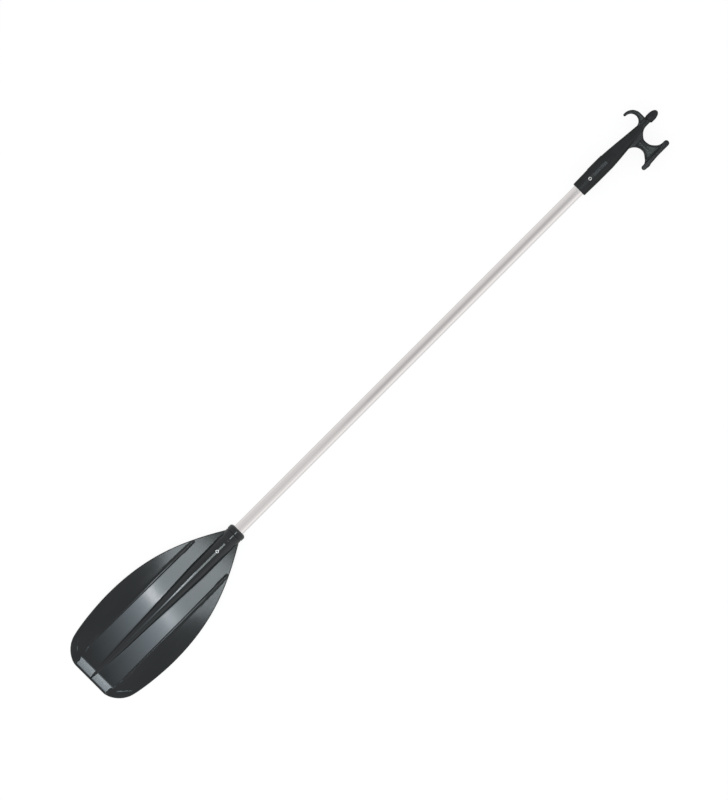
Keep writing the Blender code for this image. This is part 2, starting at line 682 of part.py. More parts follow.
def foot_outline():
    rear = (-REAR_HORN_AT, -REAR_GAP_DROP - REAR_GAP_RADIUS - REAR_HORN_RADIUS)
    front = (-FRONT_HORN_AT, -FOOT_FACE_DROP + FRONT_HORN_RADIUS)
    points = arc(rear, REAR_HORN_RADIUS, 90, 90 + REAR_HORN_TURN, HORN_STEPS)
    points += [(-FOOT_HEEL_AT, -FOOT_FACE_DROP - FOOT_HEEL_DEPTH),
               (-FOOT_ARCH_AT, -FOOT_FACE_DROP - FOOT_ARCH_DEPTH),
               (-FOOT_FACE_END, -FOOT_FACE_DROP)]
    points += arc(front, FRONT_HORN_RADIUS, -90, 90, HORN_STEPS)
    points += [(-FRONT_GAP_AT, -FOOT_FACE_DROP + FOOT_DEPTH),
               (-FRONT_GAP_AT - FRONT_GAP_RADIUS / 2, -FOOT_FACE_DROP + FOOT_PAD_DEPTH)]
    return points


def curl_circles():
    """Centres and radii of the curl's inner and outer arcs. The inner one ends at the throat."""
    inner = (-CURL_AT, HEAD_THROAT_RADIUS + CURL_INNER_RADIUS)
    outer_radius = CURL_INNER_RADIUS + CURL_BACK_DEPTH - CURL_ARC_SHIFT
    top = inner[1] + CURL_INNER_RADIUS + CURL_TIP_DEPTH
    outer = (-CURL_AT + CURL_ARC_SHIFT, top - outer_radius)
    return inner, outer, outer_radius


def curl_outline():
    inner, outer, outer_radius = curl_circles()
    tip_angle = 90 + CURL_TIP_TURN
    root = HEAD_NECK_RADIUS / 2
    back = outer[0] + outer_radius
    faired_in = -REAR_GAP_AT + REAR_GAP_RADIUS
    outer_points = arc(outer, outer_radius, 0, tip_angle, CURL_OUTER_STEPS)
    inner_points = arc(inner, CURL_INNER_RADIUS, tip_angle, -90, CURL_INNER_STEPS)
    outer_end = Vector(outer_points[-1])
    inner_end = Vector(inner_points[0])
    middle = (outer_end + inner_end) / 2
    half = (outer_end - inner_end).length / 2
    start = math.degrees(math.atan2(outer_end.y - middle.y, outer_end.x - middle.x))
    tip_points = arc(middle, half, start, start + 180, CURL_TIP_STEPS)[1:-1]
    return ([(faired_in, -root), (back, -root)] + outer_points + tip_points
            + inner_points + [(faired_in, HEAD_THROAT_RADIUS)])


def curl_pocket_outline():
    inner, outer, outer_radius = curl_circles()
    outer_radius -= CURL_RIM_WIDTH
    inner_radius = CURL_INNER_RADIUS + CURL_RIM_WIDTH
    low_turn = -math.degrees(math.asin(CURL_INNER_RADIUS / inner_radius))
    bottom = inner[1] - CURL_INNER_RADIUS
    return ([(outer[0] + outer_radius, bottom)]
            + arc(outer, outer_radius, 0, CURL_POCKET_TOP_TURN, CURL_POCKET_OUTER_STEPS)
            + arc(inner, inner_radius, CURL_POCKET_TOP_TURN, low_turn, CURL_POCKET_INNER_STEPS))


def stem_pocket_outline():
    rear = (-REAR_GAP_AT, -REAR_GAP_DROP)
    front = (-FRONT_GAP_AT, -FRONT_GAP_DROP)
    rear_radius = REAR_GAP_RADIUS + STEM_RIM_WIDTH
    front_radius = FRONT_GAP_RADIUS + STEM_RIM_WIDTH
    top = HEAD_WAIST_RADIUS + STEM_POCKET_FROM_WAIST
    bottom = FOOT_FACE_DROP - FOOT_PAD_DEPTH - STEM_POCKET_FROM_PAD

    def turn(drop, centre, radius):
        return math.degrees(math.asin((-centre[1] - drop) / radius))

    return (arc(rear, rear_radius, turn(top, rear, rear_radius),
                turn(bottom, rear, rear_radius), STEM_POCKET_STEPS)
            + arc(front, front_radius, 180 - turn(bottom, front, front_radius),
                  180 - turn(top, front, front_radius), STEM_POCKET_STEPS))


def cut_pockets(head, name, outline, thickness, web, collection):
    """Cut the same pocket into both faces of a plate, down to its web."""
    depth = thickness / 2
    for side in (-1, 1):
        pocket = flat_plate(name, outline, depth, 0.0, collection)
        pocket.location = (NOSE_X, 0.0, side * (web + depth) / 2)
        combine(head, "DIFFERENCE", pocket)


def make_head(parts, helpers):
    head = turned("hook_head", head_body_profile(), SHAFT_SIDES, parts)
    lay_along_x(head, NOSE_X)
    plates = [flat_plate("stem", stem_outline(), STEM_THICKNESS, HEAD_EDGE_ROUND, helpers),
              flat_plate("foot", foot_outline(), FOOT_THICKNESS, HEAD_EDGE_ROUND, helpers),
              flat_plate("curl", curl_outline(), CURL_THICKNESS, HEAD_EDGE_ROUND, helpers)]
    for plate in plates:
        plate.location = (NOSE_X, 0.0, 0.0)
    for piece in [make_nose(helpers), make_pad(helpers)] + plates:
        combine(head, "UNION", piece)
    cut_pockets(head, "stem_pocket", stem_pocket_outline(), STEM_THICKNESS, STEM_WEB, helpers)
    cut_pockets(head, "curl_pocket", curl_pocket_outline(), CURL_THICKNESS, CURL_WEB, helpers)
    for cutter in make_rivet_cutters("hook_rivet", HEAD_RIVET_X, HEAD_SOCKET_RADIUS, helpers):
        combine(head, "DIFFERENCE", cutter)
    return head


# The shaft, and what fastens and fills its ends

def make_shaft(parts):
    length = SHAFT_END_X - SHAFT_START_X
    profile = [(SHAFT_BORE_RADIUS, length), (SHAFT_RADIUS, length), (SHAFT_RADIUS, 0.0),
               (SHAFT_BORE_RADIUS, 0.0)]
    shaft = turned("shaft_tube", profile, SHAFT_SIDES, parts)
    lay_along_x(shaft, SHAFT_START_X)
    for rivet in ("blade_rivet", "hook_rivet"):
        combine(shaft, "DIFFERENCE", bpy.data.objects[rivet + "_hole"])
    return shaft


def rivet_heights(wall_radius):
    """Heights of a rivet's seat, of its top and of its tail's two ends."""
    seat = rivet_seat_height(wall_radius) + CLEARANCE
    tail_radius = RIVET_TAIL_DIAMETER / 2
    tail_top = math.sqrt(SHAFT_BORE_RADIUS ** 2 - tail_radius ** 2) - CLEARANCE
    return seat, seat + RIVET_HEAD_HEIGHT, tail_top, tail_top - RIVET_TAIL_LENGTH


def make_rivet(name, x, wall_radius, parts):
    """The sleeve of a blind rivet, with its head outside and its tail inside the shaft."""
    seat, top, tail_top, tail_end = rivet_heights(wall_radius)
    head = RIVET_HEAD_DIAMETER / 2
    body = RIVET_BODY_DIAMETER / 2
    bore = RIVET_BORE / 2
    tail = RIVET_TAIL_DIAMETER / 2
    dome = [(radius, height) for height, radius in
            arc((seat, head - RIVET_HEAD_HEIGHT), RIVET_HEAD_HEIGHT, 0, 90, RIVET_HEAD_STEPS)]
    profile = [(bore, top)] + dome
    profile += [(body, seat), (body, tail_top), (tail, tail_top),
                (tail, mix(tail_top, tail_end, RIVET_TAIL_FULL_SHARE)), (body, tail_end),
                (bore, tail_end)]
    rivet = turned(name, profile, RIVET_SIDES, parts)
    rivet.location = (x, 0.0, 0.0)
    return rivet


def make_mandrel(name, x, wall_radius, parts):
    """What stays of the rivet's mandrel: the broken stub, and the knob under the tail."""
    seat, top, tail_top, tail_end = rivet_heights(wall_radius)
    stub = RIVET_BORE / 2 - CLEARANCE
    knob = MANDREL_HEAD_DIAMETER / 2
    stub_top = top - MANDREL_RECESS
    knob_top = tail_end - CLEARANCE
    knob_end = knob_top - MANDREL_HEAD_LENGTH
    profile = [(0.0, stub_top), (stub, stub_top), (stub, knob_top), (knob, knob_top),
               (knob, (knob_top + knob_end) / 2), (stub, knob_end), (0.0, knob_end)]
    mandrel = turned(name, profile, MANDREL_SIDES, parts)
    mandrel.location = (x, 0.0, 0.0)
    return mandrel


def make_plug(name, start, end, parts):
    radius = SHAFT_BORE_RADIUS - CLEARANCE
    length = end - start
    inner = radius - PLUG_EDGE_ROUND
    profile = [(0.0, length), (inner, length), (radius, length - PLUG_EDGE_ROUND),
               (radius, PLUG_EDGE_ROUND), (inner, 0.0), (0.0, 0.0)]
    plug = turned(name, profile, RIVET_SIDES, parts)
    lay_along_x(plug, start)
    return plug


def lay_on_floor(lowest, parts, helpers):
    """Carry every piece on one empty, which lifts the shaft's axis over the floor."""
    empty = bpy.data.objects.new("shaft_axis", None)
    parts.objects.link(empty)
    collar_bottom = -BLADE_SOCKET_RADIUS - COLLAR_STEP
    empty.location = (0.0, 0.0, -min(lowest, collar_bottom, -HEAD_SOCKET_RADIUS))
    for obj in list(parts.objects) + list(helpers.objects):
        if obj is not empty:
            obj.parent = empty


def build():
    remove_everything()
    parts = new_collection("paddle_with_boat_hook")
    helpers = new_collection("cutters_and_guides")
    black_plastic = new_material("black_polypropylene", (0.020, 0.023, 0.024), 0.30)
    hook_plastic = new_material("black_nylon", (0.018, 0.021, 0.022), 0.45)
    aluminium = new_material("anodised_aluminium", (0.80, 0.78, 0.77), 0.30, 1.0)
    bright_metal = new_material("rivet_aluminium", (0.88, 0.88, 0.88), 0.25, 1.0)
    steel = new_material("mandrel_steel", (0.45, 0.45, 0.46), 0.40, 1.0)
    foam = new_material("closed_cell_foam", (0.75, 0.75, 0.72), 0.90)
    blade, lowest = make_blade(parts, helpers)
    pieces = [(blade, black_plastic), (make_head(parts, helpers), hook_plastic),
              (make_shaft(parts), aluminium)]
    for name, x, wall_radius in (("blade_rivet", BLADE_RIVET_X, BLADE_SOCKET_RADIUS),
                                 ("hook_rivet", HEAD_RIVET_X, HEAD_SOCKET_RADIUS)):
        pieces.append((make_rivet(name, x, wall_radius, parts), bright_metal))
        pieces.append((make_mandrel(name + "_mandrel", x, wall_radius, parts), steel))
    for name, start, end in (
            ("blade_end_plug", SHAFT_START_X + PLUG_INSET, BLADE_RIVET_X - PLUG_RIVET_MARGIN),
            ("hook_end_plug", HEAD_RIVET_X + PLUG_RIVET_MARGIN, SHAFT_END_X - PLUG_INSET)):
        pieces.append((make_plug(name, start, end, parts), foam))
    for piece, material in pieces:
        settle(piece)
        piece.data.materials.clear()
        piece.data.materials.append(material)
    lay_on_floor(lowest, parts, helpers)


build()
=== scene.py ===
"""The looks of a paddle with a boat-hook head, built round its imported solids.

Lengths are in metres, in the solids' own frame: the shaft runs along X with the hook's nose
towards +X, and the blade's ribbed back faces up. "From the tip" counts from the blade's tip.
"""

import math

import bmesh
import bpy
import numpy as np
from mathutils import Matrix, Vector
from mathutils.geometry import interpolate_bezier


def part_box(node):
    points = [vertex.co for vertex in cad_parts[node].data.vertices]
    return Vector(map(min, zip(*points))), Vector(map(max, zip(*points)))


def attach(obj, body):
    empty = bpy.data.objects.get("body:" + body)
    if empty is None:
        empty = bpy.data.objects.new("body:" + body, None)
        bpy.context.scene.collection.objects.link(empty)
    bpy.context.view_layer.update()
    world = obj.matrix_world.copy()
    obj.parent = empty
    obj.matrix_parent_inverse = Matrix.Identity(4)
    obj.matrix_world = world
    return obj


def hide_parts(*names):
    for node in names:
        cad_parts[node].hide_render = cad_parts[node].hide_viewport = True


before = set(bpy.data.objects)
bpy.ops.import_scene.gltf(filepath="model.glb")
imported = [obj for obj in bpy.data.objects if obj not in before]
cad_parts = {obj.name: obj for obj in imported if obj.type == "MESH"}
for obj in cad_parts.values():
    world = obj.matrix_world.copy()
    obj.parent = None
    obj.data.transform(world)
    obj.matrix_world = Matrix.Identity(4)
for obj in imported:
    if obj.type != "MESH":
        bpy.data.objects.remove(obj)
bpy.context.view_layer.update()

# Sizes shared with the solids
LENGTH = 1.500
TIP_X = -LENGTH / 2
NOSE_X = LENGTH / 2
tube_low, tube_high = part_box("shaft_tube")
AXIS_HEIGHT = (tube_low.z + tube_high.z) / 2
SHAFT_RADIUS = 0.0110
SHAFT_WALL = 0.0012
BORE_RADIUS = 0.0113
MOUTH_CHAMFER = 0.0006
BLADE_LENGTH = 0.3946
BLADE_SOCKET_RADIUS = 0.0163
HALF_PLATE = 0.0018
HEAD_LENGTH = 0.2081
HEAD_BORE_DEPTH = 0.0750
HEAD_SOCKET_RADIUS = 0.0157


def mix(low, high, share):
    """The value a share of the way from low to high."""
    return low + (high - low) * share


def smooth_step(low, high, value):
    """Nought at low and one at high, with an S-shaped change between them."""
    share = np.clip((value - low) / (high - low), 0.0, 1.0)
    return share * share * (3 - 2 * share)


def bezier(start, start_pull, end_pull, end, steps):
    """Points along a flat curve that two handles pull."""
    vectors = [Vector((point[0], point[1], 0.0)) for point in (start, start_pull, end_pull, end)]
    return [(point.x, point.y) for point in interpolate_bezier(*vectors, steps + 1)]


def bulged_arc(centre, radius, start, end, steps, bulges=()):
    """An arc between two angles in degrees, whose radius changes near the bulges' angles."""
    points = []
    for i in range(steps + 1):
        angle = start + (end - start) * i / steps
        there = radius + sum(size * math.exp(-((angle - at) / reach) ** 2)
                             for at, reach, size in bulges)
        turn = math.radians(angle)
        points.append((centre[0] + there * math.cos(turn), centre[1] + there * math.sin(turn)))
    return points


def finish_mesh(name, bm, sharp=50):
    """An object from bmesh geometry, shaded smooth up to an angle between faces in degrees."""
    bmesh.ops.recalc_face_normals(bm, faces=bm.faces)
    mesh = bpy.data.meshes.new(name)
    bm.to_mesh(mesh)
    bm.free()
    mesh.shade_smooth()
    mesh.set_sharp_from_angle(angle=math.radians(sharp))
    obj = bpy.data.objects.new(name, mesh)
    bpy.context.scene.collection.objects.link(obj)
    return obj


def turned(name, profile, sides, axis, place, sharp=40):
    """Turn (radius, along) points round X or Z. A profile that starts off the axis is closed."""
    bm = bmesh.new()
    rings = []
    for radius, along in profile:
        ring = []
        for i in range(sides if radius > 0 else 1):
            angle = 2 * math.pi * i / sides
            across, up = radius * math.cos(angle), radius * math.sin(angle)
            point = (along, across, up) if axis == "X" else (across, up, along)
            ring.append(bm.verts.new(Vector(point) + Vector(place)))
        rings.append(ring)
    pairs = list(zip(rings, rings[1:]))
    if profile[0][0] > 0:
        pairs.append((rings[-1], rings[0]))
    for first, second in pairs:
        for i in range(sides):
            j = (i + 1) % sides
            corners = [first[i % len(first)], first[j % len(first)],
                       second[j % len(second)], second[i % len(second)]]
            unique = list(dict.fromkeys(corners))
            if len(unique) > 2:
                bm.faces.new(unique)
    return finish_mesh(name, bm, sharp)


# The blade: one shell on a grid whose lines follow the spine, the ribs and the outline

# A pair is a place on the blade: how far from the tip, and how far from the middle line.
TIP_HALF_WIDTH = 0.0363     # the straight middle part of the tip's edge
CORNER_END = (0.0322, 0.0764)
CORNER_SLOPE = 0.37
WIDEST = (0.1370, 0.0887)
NECK_INSET = 0.0112         # the outline ends this far short of the collar's mouth
NECK_HALF_WIDTH = 0.0135
NECK_SLOPE = 0.601
RIM_INSET = 0.0015
RIM_ROUND = 0.0012
TIP_DROP = 0.0180
BEND_START = 0.2320
WING_TILT = 0.1800          # how steeply the wings outside the ribs fall away at the tip
WING_TILT_END = 0.3100
WING_KINK = 0.0020
SPINE_POINT = (0.0043, 0.0005)          # the spine's pairs: from the tip, and its radius there
SPINE_NEAR = ((0.0160, 0.0025), (0.0400, 0.0048), (0.0780, 0.0077), (0.1000, 0.0084))
SPINE_FAR = ((0.1000, 0.0084), (0.1500, 0.0100), (0.2450, 0.0146), (0.2850, BLADE_SOCKET_RADIUS))
SPINE_FILLET = 0.0007
NECK_RISE = 0.0004          # the spine swells a little more on its way to the bead
BEAD_HEIGHT = 0.0001
VALLEY_DEPTH = 0.0009       # between the bead and the collar
CREST_FLAT = 0.0028         # the spine's crest is flattened over about this half width
RIB_OFFSET = 0.0452
RIB_START = 0.0196
RIB_END = 0.3215
RIB_HALF_WIDTHS = (0.0013, 0.0027)      # at the rib's start and at its end
RIB_HEIGHTS = (0.0012, 0.0024)          # at the same two places
RAMP_FOOT_AT = 0.0196
RAMP_TOP_AT = 0.0039
RAMP_HEIGHT = 0.0028
RAMP_GROOVES = (0.0001, 0.0022)         # half width of the groove between the ramps
GROOVE_HALF = 0.0034        # the grid's rows are dense at least this far from the middle line
LIP_HEIGHT = 0.0006
LIP_LINE = (0.0250, 0.0570)             # a place on the lip's line
LIP_SLANT = (0.667, 0.745)              # the direction across the lip's line
CORNER_AT = 0.0100          # where the grid's corner lies on the outline, from the tip
CORNER_FADE = 0.1200        # the grid's lines across run straight from here on
SHELL_END = 0.3800
COLLAR_LENGTH = 0.0122
RING_SLOPE = 0.0250


def blade_outline():
    """Dense outline of the half blade from the tip's middle to the neck, as two arrays."""
    corner = bezier((0.0, TIP_HALF_WIDTH), (0.0, 0.0492),
                    (0.0123, CORNER_END[1] - 0.0199 * CORNER_SLOPE), CORNER_END, 60)
    side = bezier(CORNER_END, (0.0495, CORNER_END[1] + 0.0173 * CORNER_SLOPE),
                  (WIDEST[0] - 0.0347, WIDEST[1]), WIDEST, 60)
    neck_at = BLADE_LENGTH - NECK_INSET
    taper = bezier(WIDEST, (0.2375, WIDEST[1]),
                   (neck_at - 0.0792, NECK_HALF_WIDTH + 0.0792 * NECK_SLOPE),
                   (neck_at, NECK_HALF_WIDTH), 120)
    flat = [(0.0, TIP_HALF_WIDTH * i / 20) for i in range(20)]
    points = flat + corner + side[1:] + taper[1:]
    return np.array([p[0] for p in points]), np.array([p[1] for p in points])


def rim_inner_edge(out_s, out_y):
    """The outline moved inwards by the rim's width, or less where it comes near the spine."""
    way_s, way_y = np.gradient(out_s), np.gradient(out_y)
    size = np.hypot(way_s, way_y)
    foot_there = spine_foot(spine_radius(out_s))
    inset = np.clip((out_y - foot_there) * 0.4, 0.0002, RIM_INSET)
    inset[out_s < 0.2] = RIM_INSET
    return out_s + inset * way_y / size, out_y - inset * way_s / size


def plate_height(from_tip, y):
    """The plate bends down to the tip, and its wings fall away outside the ribs."""
    reach = np.maximum(0.0, BEND_START - from_tip)
    outside = np.abs(y) - RIB_OFFSET
    bend = np.clip(outside + WING_KINK, 0.0, 2 * WING_KINK) ** 2 / (4 * WING_KINK)
    wing = np.where(outside > WING_KINK, outside, bend)
    tilt = WING_TILT * np.clip(1 - from_tip / WING_TILT_END, 0.0, 1.0)
    return -TIP_DROP * (reach / BEND_START) ** 2 - tilt * wing


def spine_radius(from_tip):
    """The spine swells from a point by the tip to the socket, and ends in a bead and a valley."""
    curve = [SPINE_POINT] + bezier(*SPINE_NEAR, 30) + bezier(*SPINE_FAR, 50)[1:]
    at, radius = zip(*curve)
    bead = smooth_step(0.3540, 0.3580, from_tip) - smooth_step(0.3580, 0.3610, from_tip)
    valley = smooth_step(0.3590, 0.3645, from_tip)
    rise = NECK_RISE * smooth_step(0.3250, 0.3580, from_tip)
    return np.interp(from_tip, at, radius) + rise + BEAD_HEIGHT * bead - VALLEY_DEPTH * valley


def spine_foot(radius):
    """Half width at which the fillet beside the spine meets the plate."""
    reach = (radius + SPINE_FILLET) ** 2 - (HALF_PLATE + SPINE_FILLET) ** 2
    return np.sqrt(np.maximum(reach, 0.0))


def spine_rise(radius, y):
    """Height of the spine and its fillets above the plate's face."""
    y = np.abs(y)
    foot = spine_foot(radius)
    touch = foot * radius / (radius + SPINE_FILLET)
    flat = (CREST_FLAT * smooth_step(0.0105, 0.0152, radius)) ** 2
    flat = flat * (1 - smooth_step(0.25, 0.70, y / radius)) + 1e-12
    crown = np.sqrt(np.maximum(radius ** 2 - y ** 4 / (y ** 2 + flat), 0.0)) - HALF_PLATE
    hollow = SPINE_FILLET - np.sqrt(np.maximum(SPINE_FILLET ** 2 - (y - foot) ** 2, 0.0))
    rise = np.where(y < touch, crown, np.where(y < foot, hollow, 0.0))
    return np.where(radius > HALF_PLATE, np.maximum(rise, 0.0), 0.0)


def rib_share(from_tip):
    """How far along the ribs a place lies, from nought at their start to one at their end."""
    return np.clip((from_tip - RIB_START) / (RIB_END - RIB_START), 0.0, 1.0)


def rib_rise(s, y):
    top = mix(*RIB_HEIGHTS, rib_share(s)) * smooth_step(RIB_END, RIB_END - 0.0050, s)
    top = top * smooth_step(0.0150, 0.0500, s)
    across = np.abs(np.abs(y) - RIB_OFFSET) / mix(*RIB_HALF_WIDTHS, rib_share(s))
    return top * (1 - smooth_step(0.35, 1.25, across))


def ramp_rise(s, y):
    """The tip's two ramps, on either side of a groove that widens towards their foot."""
    ramp = RAMP_HEIGHT * np.clip((RAMP_FOOT_AT - s) / (RAMP_FOOT_AT - RAMP_TOP_AT), 0.0, 1.0)
    widening = np.clip((s - RAMP_TOP_AT) / (RAMP_FOOT_AT - RAMP_TOP_AT), 0.0, 1.0)
    outside = np.abs(y) - mix(*RAMP_GROOVES, widening)
    return ramp * smooth_step(0.0, mix(0.0008, 0.0012, widening), outside) * (
        1 - smooth_step(RIB_OFFSET - 0.0042, RIB_OFFSET - 0.0022, np.abs(y)))


def lip_rise(s, y):
    """A low lip along each of the tip's corners."""
    outward = ((np.abs(y) - LIP_LINE[1]) * LIP_SLANT[1] - (s - LIP_LINE[0]) * LIP_SLANT[0])
    lip = LIP_HEIGHT * smooth_step(-0.0008, 0.0008, outward) * smooth_step(0.048, 0.056, np.abs(y))
    return lip * (1 - smooth_step(0.006, 0.014, outward)) * (1 - smooth_step(0.040, 0.046, s))


def grid_rows(foot, inner_half, rib_half):
    """Places across one half of the blade, from its middle line to the rim."""
    foot = min(foot, inner_half * 0.97)
    free = inner_half - foot
    rib_at = min(RIB_OFFSET, foot + free * 0.5)
    reach = min(rib_half, free * 0.1) * 1.3
    side = min(0.0024, free * 0.1)
    rows = [foot * math.sin(math.pi / 2 * (k / 18) ** 1.3) for k in range(19)]
    rows += [mix(foot, rib_at - reach - side, k / 10) for k in range(1, 11)]
    rows += [rib_at - reach - side + side * k / 5 for k in range(1, 6)]
    rows += [rib_at + reach * (k / 7) for k in range(-6, 8)]
    rows += [mix(rib_at + reach, inner_half, math.sin(math.pi / 2 * k / 18)) for k in range(1, 19)]
    return rows


def grid_columns():
    """Places along the blade, closest together at the ramps, the ribs' ends and the neck."""
    stretches = ((RIM_INSET, RAMP_TOP_AT, 7), (RAMP_TOP_AT, RAMP_FOOT_AT, 12),
                 (RAMP_FOOT_AT, 0.0300, 8), (0.0300, 0.3080, 118), (0.3080, 0.3260, 24),
                 (0.3260, 0.3530, 12), (0.3530, SHELL_END, 34))
    return np.concatenate([np.linspace(*stretch)[1 if i else 0:]
                           for i, stretch in enumerate(stretches)])


def blade_grid(in_s, in_y, corner):
    """The grid inside the rim, and where on the outline each of its lines across ends."""
    index = np.arange(len(in_s), dtype=float)
    corner_s = in_s[corner]
    columns = grid_columns()
    side_s = columns + (corner_s - RIM_INSET) * np.clip(1 - columns / CORNER_FADE, 0.0, 1.0) ** 2
    side_s[0] = corner_s
    side_index = np.interp(side_s, in_s[corner:], index[corner:])
    side_y = np.interp(side_index, index, in_y)

    rows = []
    for at, half_width in zip(columns, side_y):
        foot = max(float(spine_foot(spine_radius(at))), GROOVE_HALF)
        rows.append(grid_rows(foot, float(half_width), mix(*RIB_HALF_WIDTHS, rib_share(at))))
    half = np.array(rows)
    y = np.concatenate([-half[:, :0:-1], half], axis=1)
    tip_curve = np.interp(np.abs(y), in_y[:corner + 1], in_s[:corner + 1])
    bend = np.clip((tip_curve - RIM_INSET) / (corner_s - RIM_INSET), 0.0, 1.0)
    return columns[:, None] + (side_s - columns)[:, None] * bend, y, side_index


def make_blade_shell():
    out_s, out_y = blade_outline()
    in_s, in_y = rim_inner_edge(out_s, out_y)
    index = np.arange(len(out_s), dtype=float)
    corner = int(np.searchsorted(out_s, CORNER_AT))
    s, y, side_index = blade_grid(in_s, in_y, corner)
    count_s, count_y = s.shape

    rise = spine_rise(spine_radius(s), y)
    top = HALF_PLATE + np.maximum.reduce([rise, rib_rise(s, y), ramp_rise(s, y), lip_rise(s, y)])
    bottom = -HALF_PLATE - rise
    middle = plate_height(s, y) + AXIS_HEIGHT

    verts = []
    for offset in (top, bottom):
        verts += np.stack([TIP_X + s, y, middle + offset], axis=2).reshape(-1, 3).tolist()
    under = count_s * count_y
    faces = []
    for i in range(count_s - 1):
        for j in range(count_y - 1):
            a = i * count_y + j
            b = a + count_y
            faces.append((a, b, b + 1, a + 1))
            faces.append((under + a, under + a + 1, under + b + 1, under + b))

    # The rounded rim, in strips that run from the upper face over the outline to the lower one
    border = [(i, 0) for i in range(count_s - 1, 0, -1)]
    border += [(0, j) for j in range(count_y)]
    border += [(i, count_y - 1) for i in range(1, count_s)]
    turns = [(22.5, 0), (45, 0), (67.5, 0), (90, 0), (90, 1), (67.5, 1), (45, 1), (22.5, 1)]
    strips = []
    for i, j in border:
        along = side_index[i] if j in (0, count_y - 1) else float(
            np.interp(abs(y[0, j]), in_y[:corner + 1], index[:corner + 1]))
        outer_s = float(np.interp(along, index, out_s))
        outer_y = float(np.interp(along, index, out_y)) * (1 if y[i, j] >= 0 else -1)
        strip = [i * count_y + j]
        for angle, low in turns:
            out = math.sin(math.radians(angle))
            back = RIM_ROUND * (1 - math.cos(math.radians(angle)))
            place_s, place_y = mix(s[i, j], outer_s, out), mix(y[i, j], outer_y, out)
            offset = bottom[i, j] + back if low else top[i, j] - back
            strip.append(len(verts))
            verts.append([TIP_X + place_s, place_y,
                          float(plate_height(place_s, place_y)) + AXIS_HEIGHT + offset])
        strip.append(under + i * count_y + j)
        strips.append(strip)
    for first, second in zip(strips, strips[1:]):
        for k in range(len(first) - 1):
            faces.append((first[k], first[k + 1], second[k + 1], second[k]))
    mesh = bpy.data.meshes.new("blade_shell")
    mesh.from_pydata(verts, [], faces)
    bm = bmesh.new()
    bm.from_mesh(mesh)
    bpy.data.meshes.remove(mesh)
    return finish_mesh("blade_shell", bm, 55)


def sloped_band(radius, start, end):
    """A ring's outer face, which falls a little towards the blade."""
    places = [mix(start, end, share) for share in (0.0, 0.05, 0.10, 0.50, 0.90, 0.95, 1.0)]
    return [(radius - RING_SLOPE * (start - place), place) for place in places]


def make_collar():
    """The neck ring and the collar round the socket's mouth, with the mouth's own bore."""
    mouth = TIP_X + BLADE_LENGTH
    step = mouth - COLLAR_LENGTH
    ring, neck_ring = 0.0181, 0.0174
    ring_start, neck_ring_start, neck_ring_end = mouth - 0.0048, step - 0.0011, step - 0.0108
    profile = [(BORE_RADIUS + MOUTH_CHAMFER, mouth)]
    profile += bezier((0.0122, mouth), (0.0148, mouth), (ring, mouth - 0.0024),
                      (ring, ring_start), 12)
    profile += sloped_band(ring, ring_start, step + 0.0010)
    profile += [(ring - 0.0005, step + 0.0006), (ring - 0.0014, step + 0.0003),
                (ring - 0.0016, step - 0.0003), (neck_ring - 0.0003, step - 0.0007)]
    profile += sloped_band(neck_ring, neck_ring_start, neck_ring_end)
    foot = profile[-1][0]
    inner_end = step - 0.0170
    profile += bezier((foot, neck_ring_end), (foot - 0.0002, step - 0.0126),
                      (0.0160, step - 0.0146), (0.0155, inner_end), 8)[1:]
    profile += [(BORE_RADIUS, inner_end), (BORE_RADIUS, mouth - MOUTH_CHAMFER)]
    return turned("blade_collar", profile, 96, "X", (0, 0, AXIS_HEIGHT), 50)


# The hook head: turned body and flat plates, melted together so that their joints get fillets

# A pair is a place on the hook head: X from the nose's end, and Y.
FRONT_GAP = (-0.0343, -0.0265)
FRONT_GAP_RADIUS = 0.0216
FRONT_BULGES = ((163, 13, 0.0010), (222, 16, -0.0007))      # angle, reach, change of radius
REAR_GAP = (-0.0935, -0.0319)
REAR_GAP_RADIUS = 0.0208
REAR_BULGES = ((-38, 20, -0.0016),)
STEM_THICKNESS = 0.0120
STEM_RIM = 0.0032
STEM_POCKET = (-0.0165, -0.0499)        # from one Y to the other
FOOT_FACE = -0.0593
FOOT_THICKNESS = 0.0160
FOOT_REAR_RADIUS = 0.0046
FOOT_FRONT_RADIUS = 0.0056
CURL_INNER = (-0.0486, 0.0217)
CURL_INNER_RADIUS = 0.0139
CURL_OUTER = (-0.0465, 0.0198)
CURL_OUTER_RADIUS = 0.0212
CURL_TIP_ANGLE = 93
CURL_RIM_END_ANGLE = 30
CURL_FOOT = 0.0083          # the curl's inner edge leaves the body this far from the axis
CURL_THICKNESS = 0.0090
CURL_RIM = 0.0027
WEB_DEPTH = 0.0039          # the paler webs lie nearer to the middle plane than this
NOSE_RADIUS = 0.0085
NOSE_REACH = 0.0155
NOSE_OFFSET = 0.0010        # the nose sits a little to the curl's side
NECK_RADIUS = 0.0049
PAD_SIZE = (0.0360, 0.0028, 0.0080)
PAD_START = 0.0380          # from the mouth
PAD_HEIGHT = 0.0006
VOXEL = 0.00060


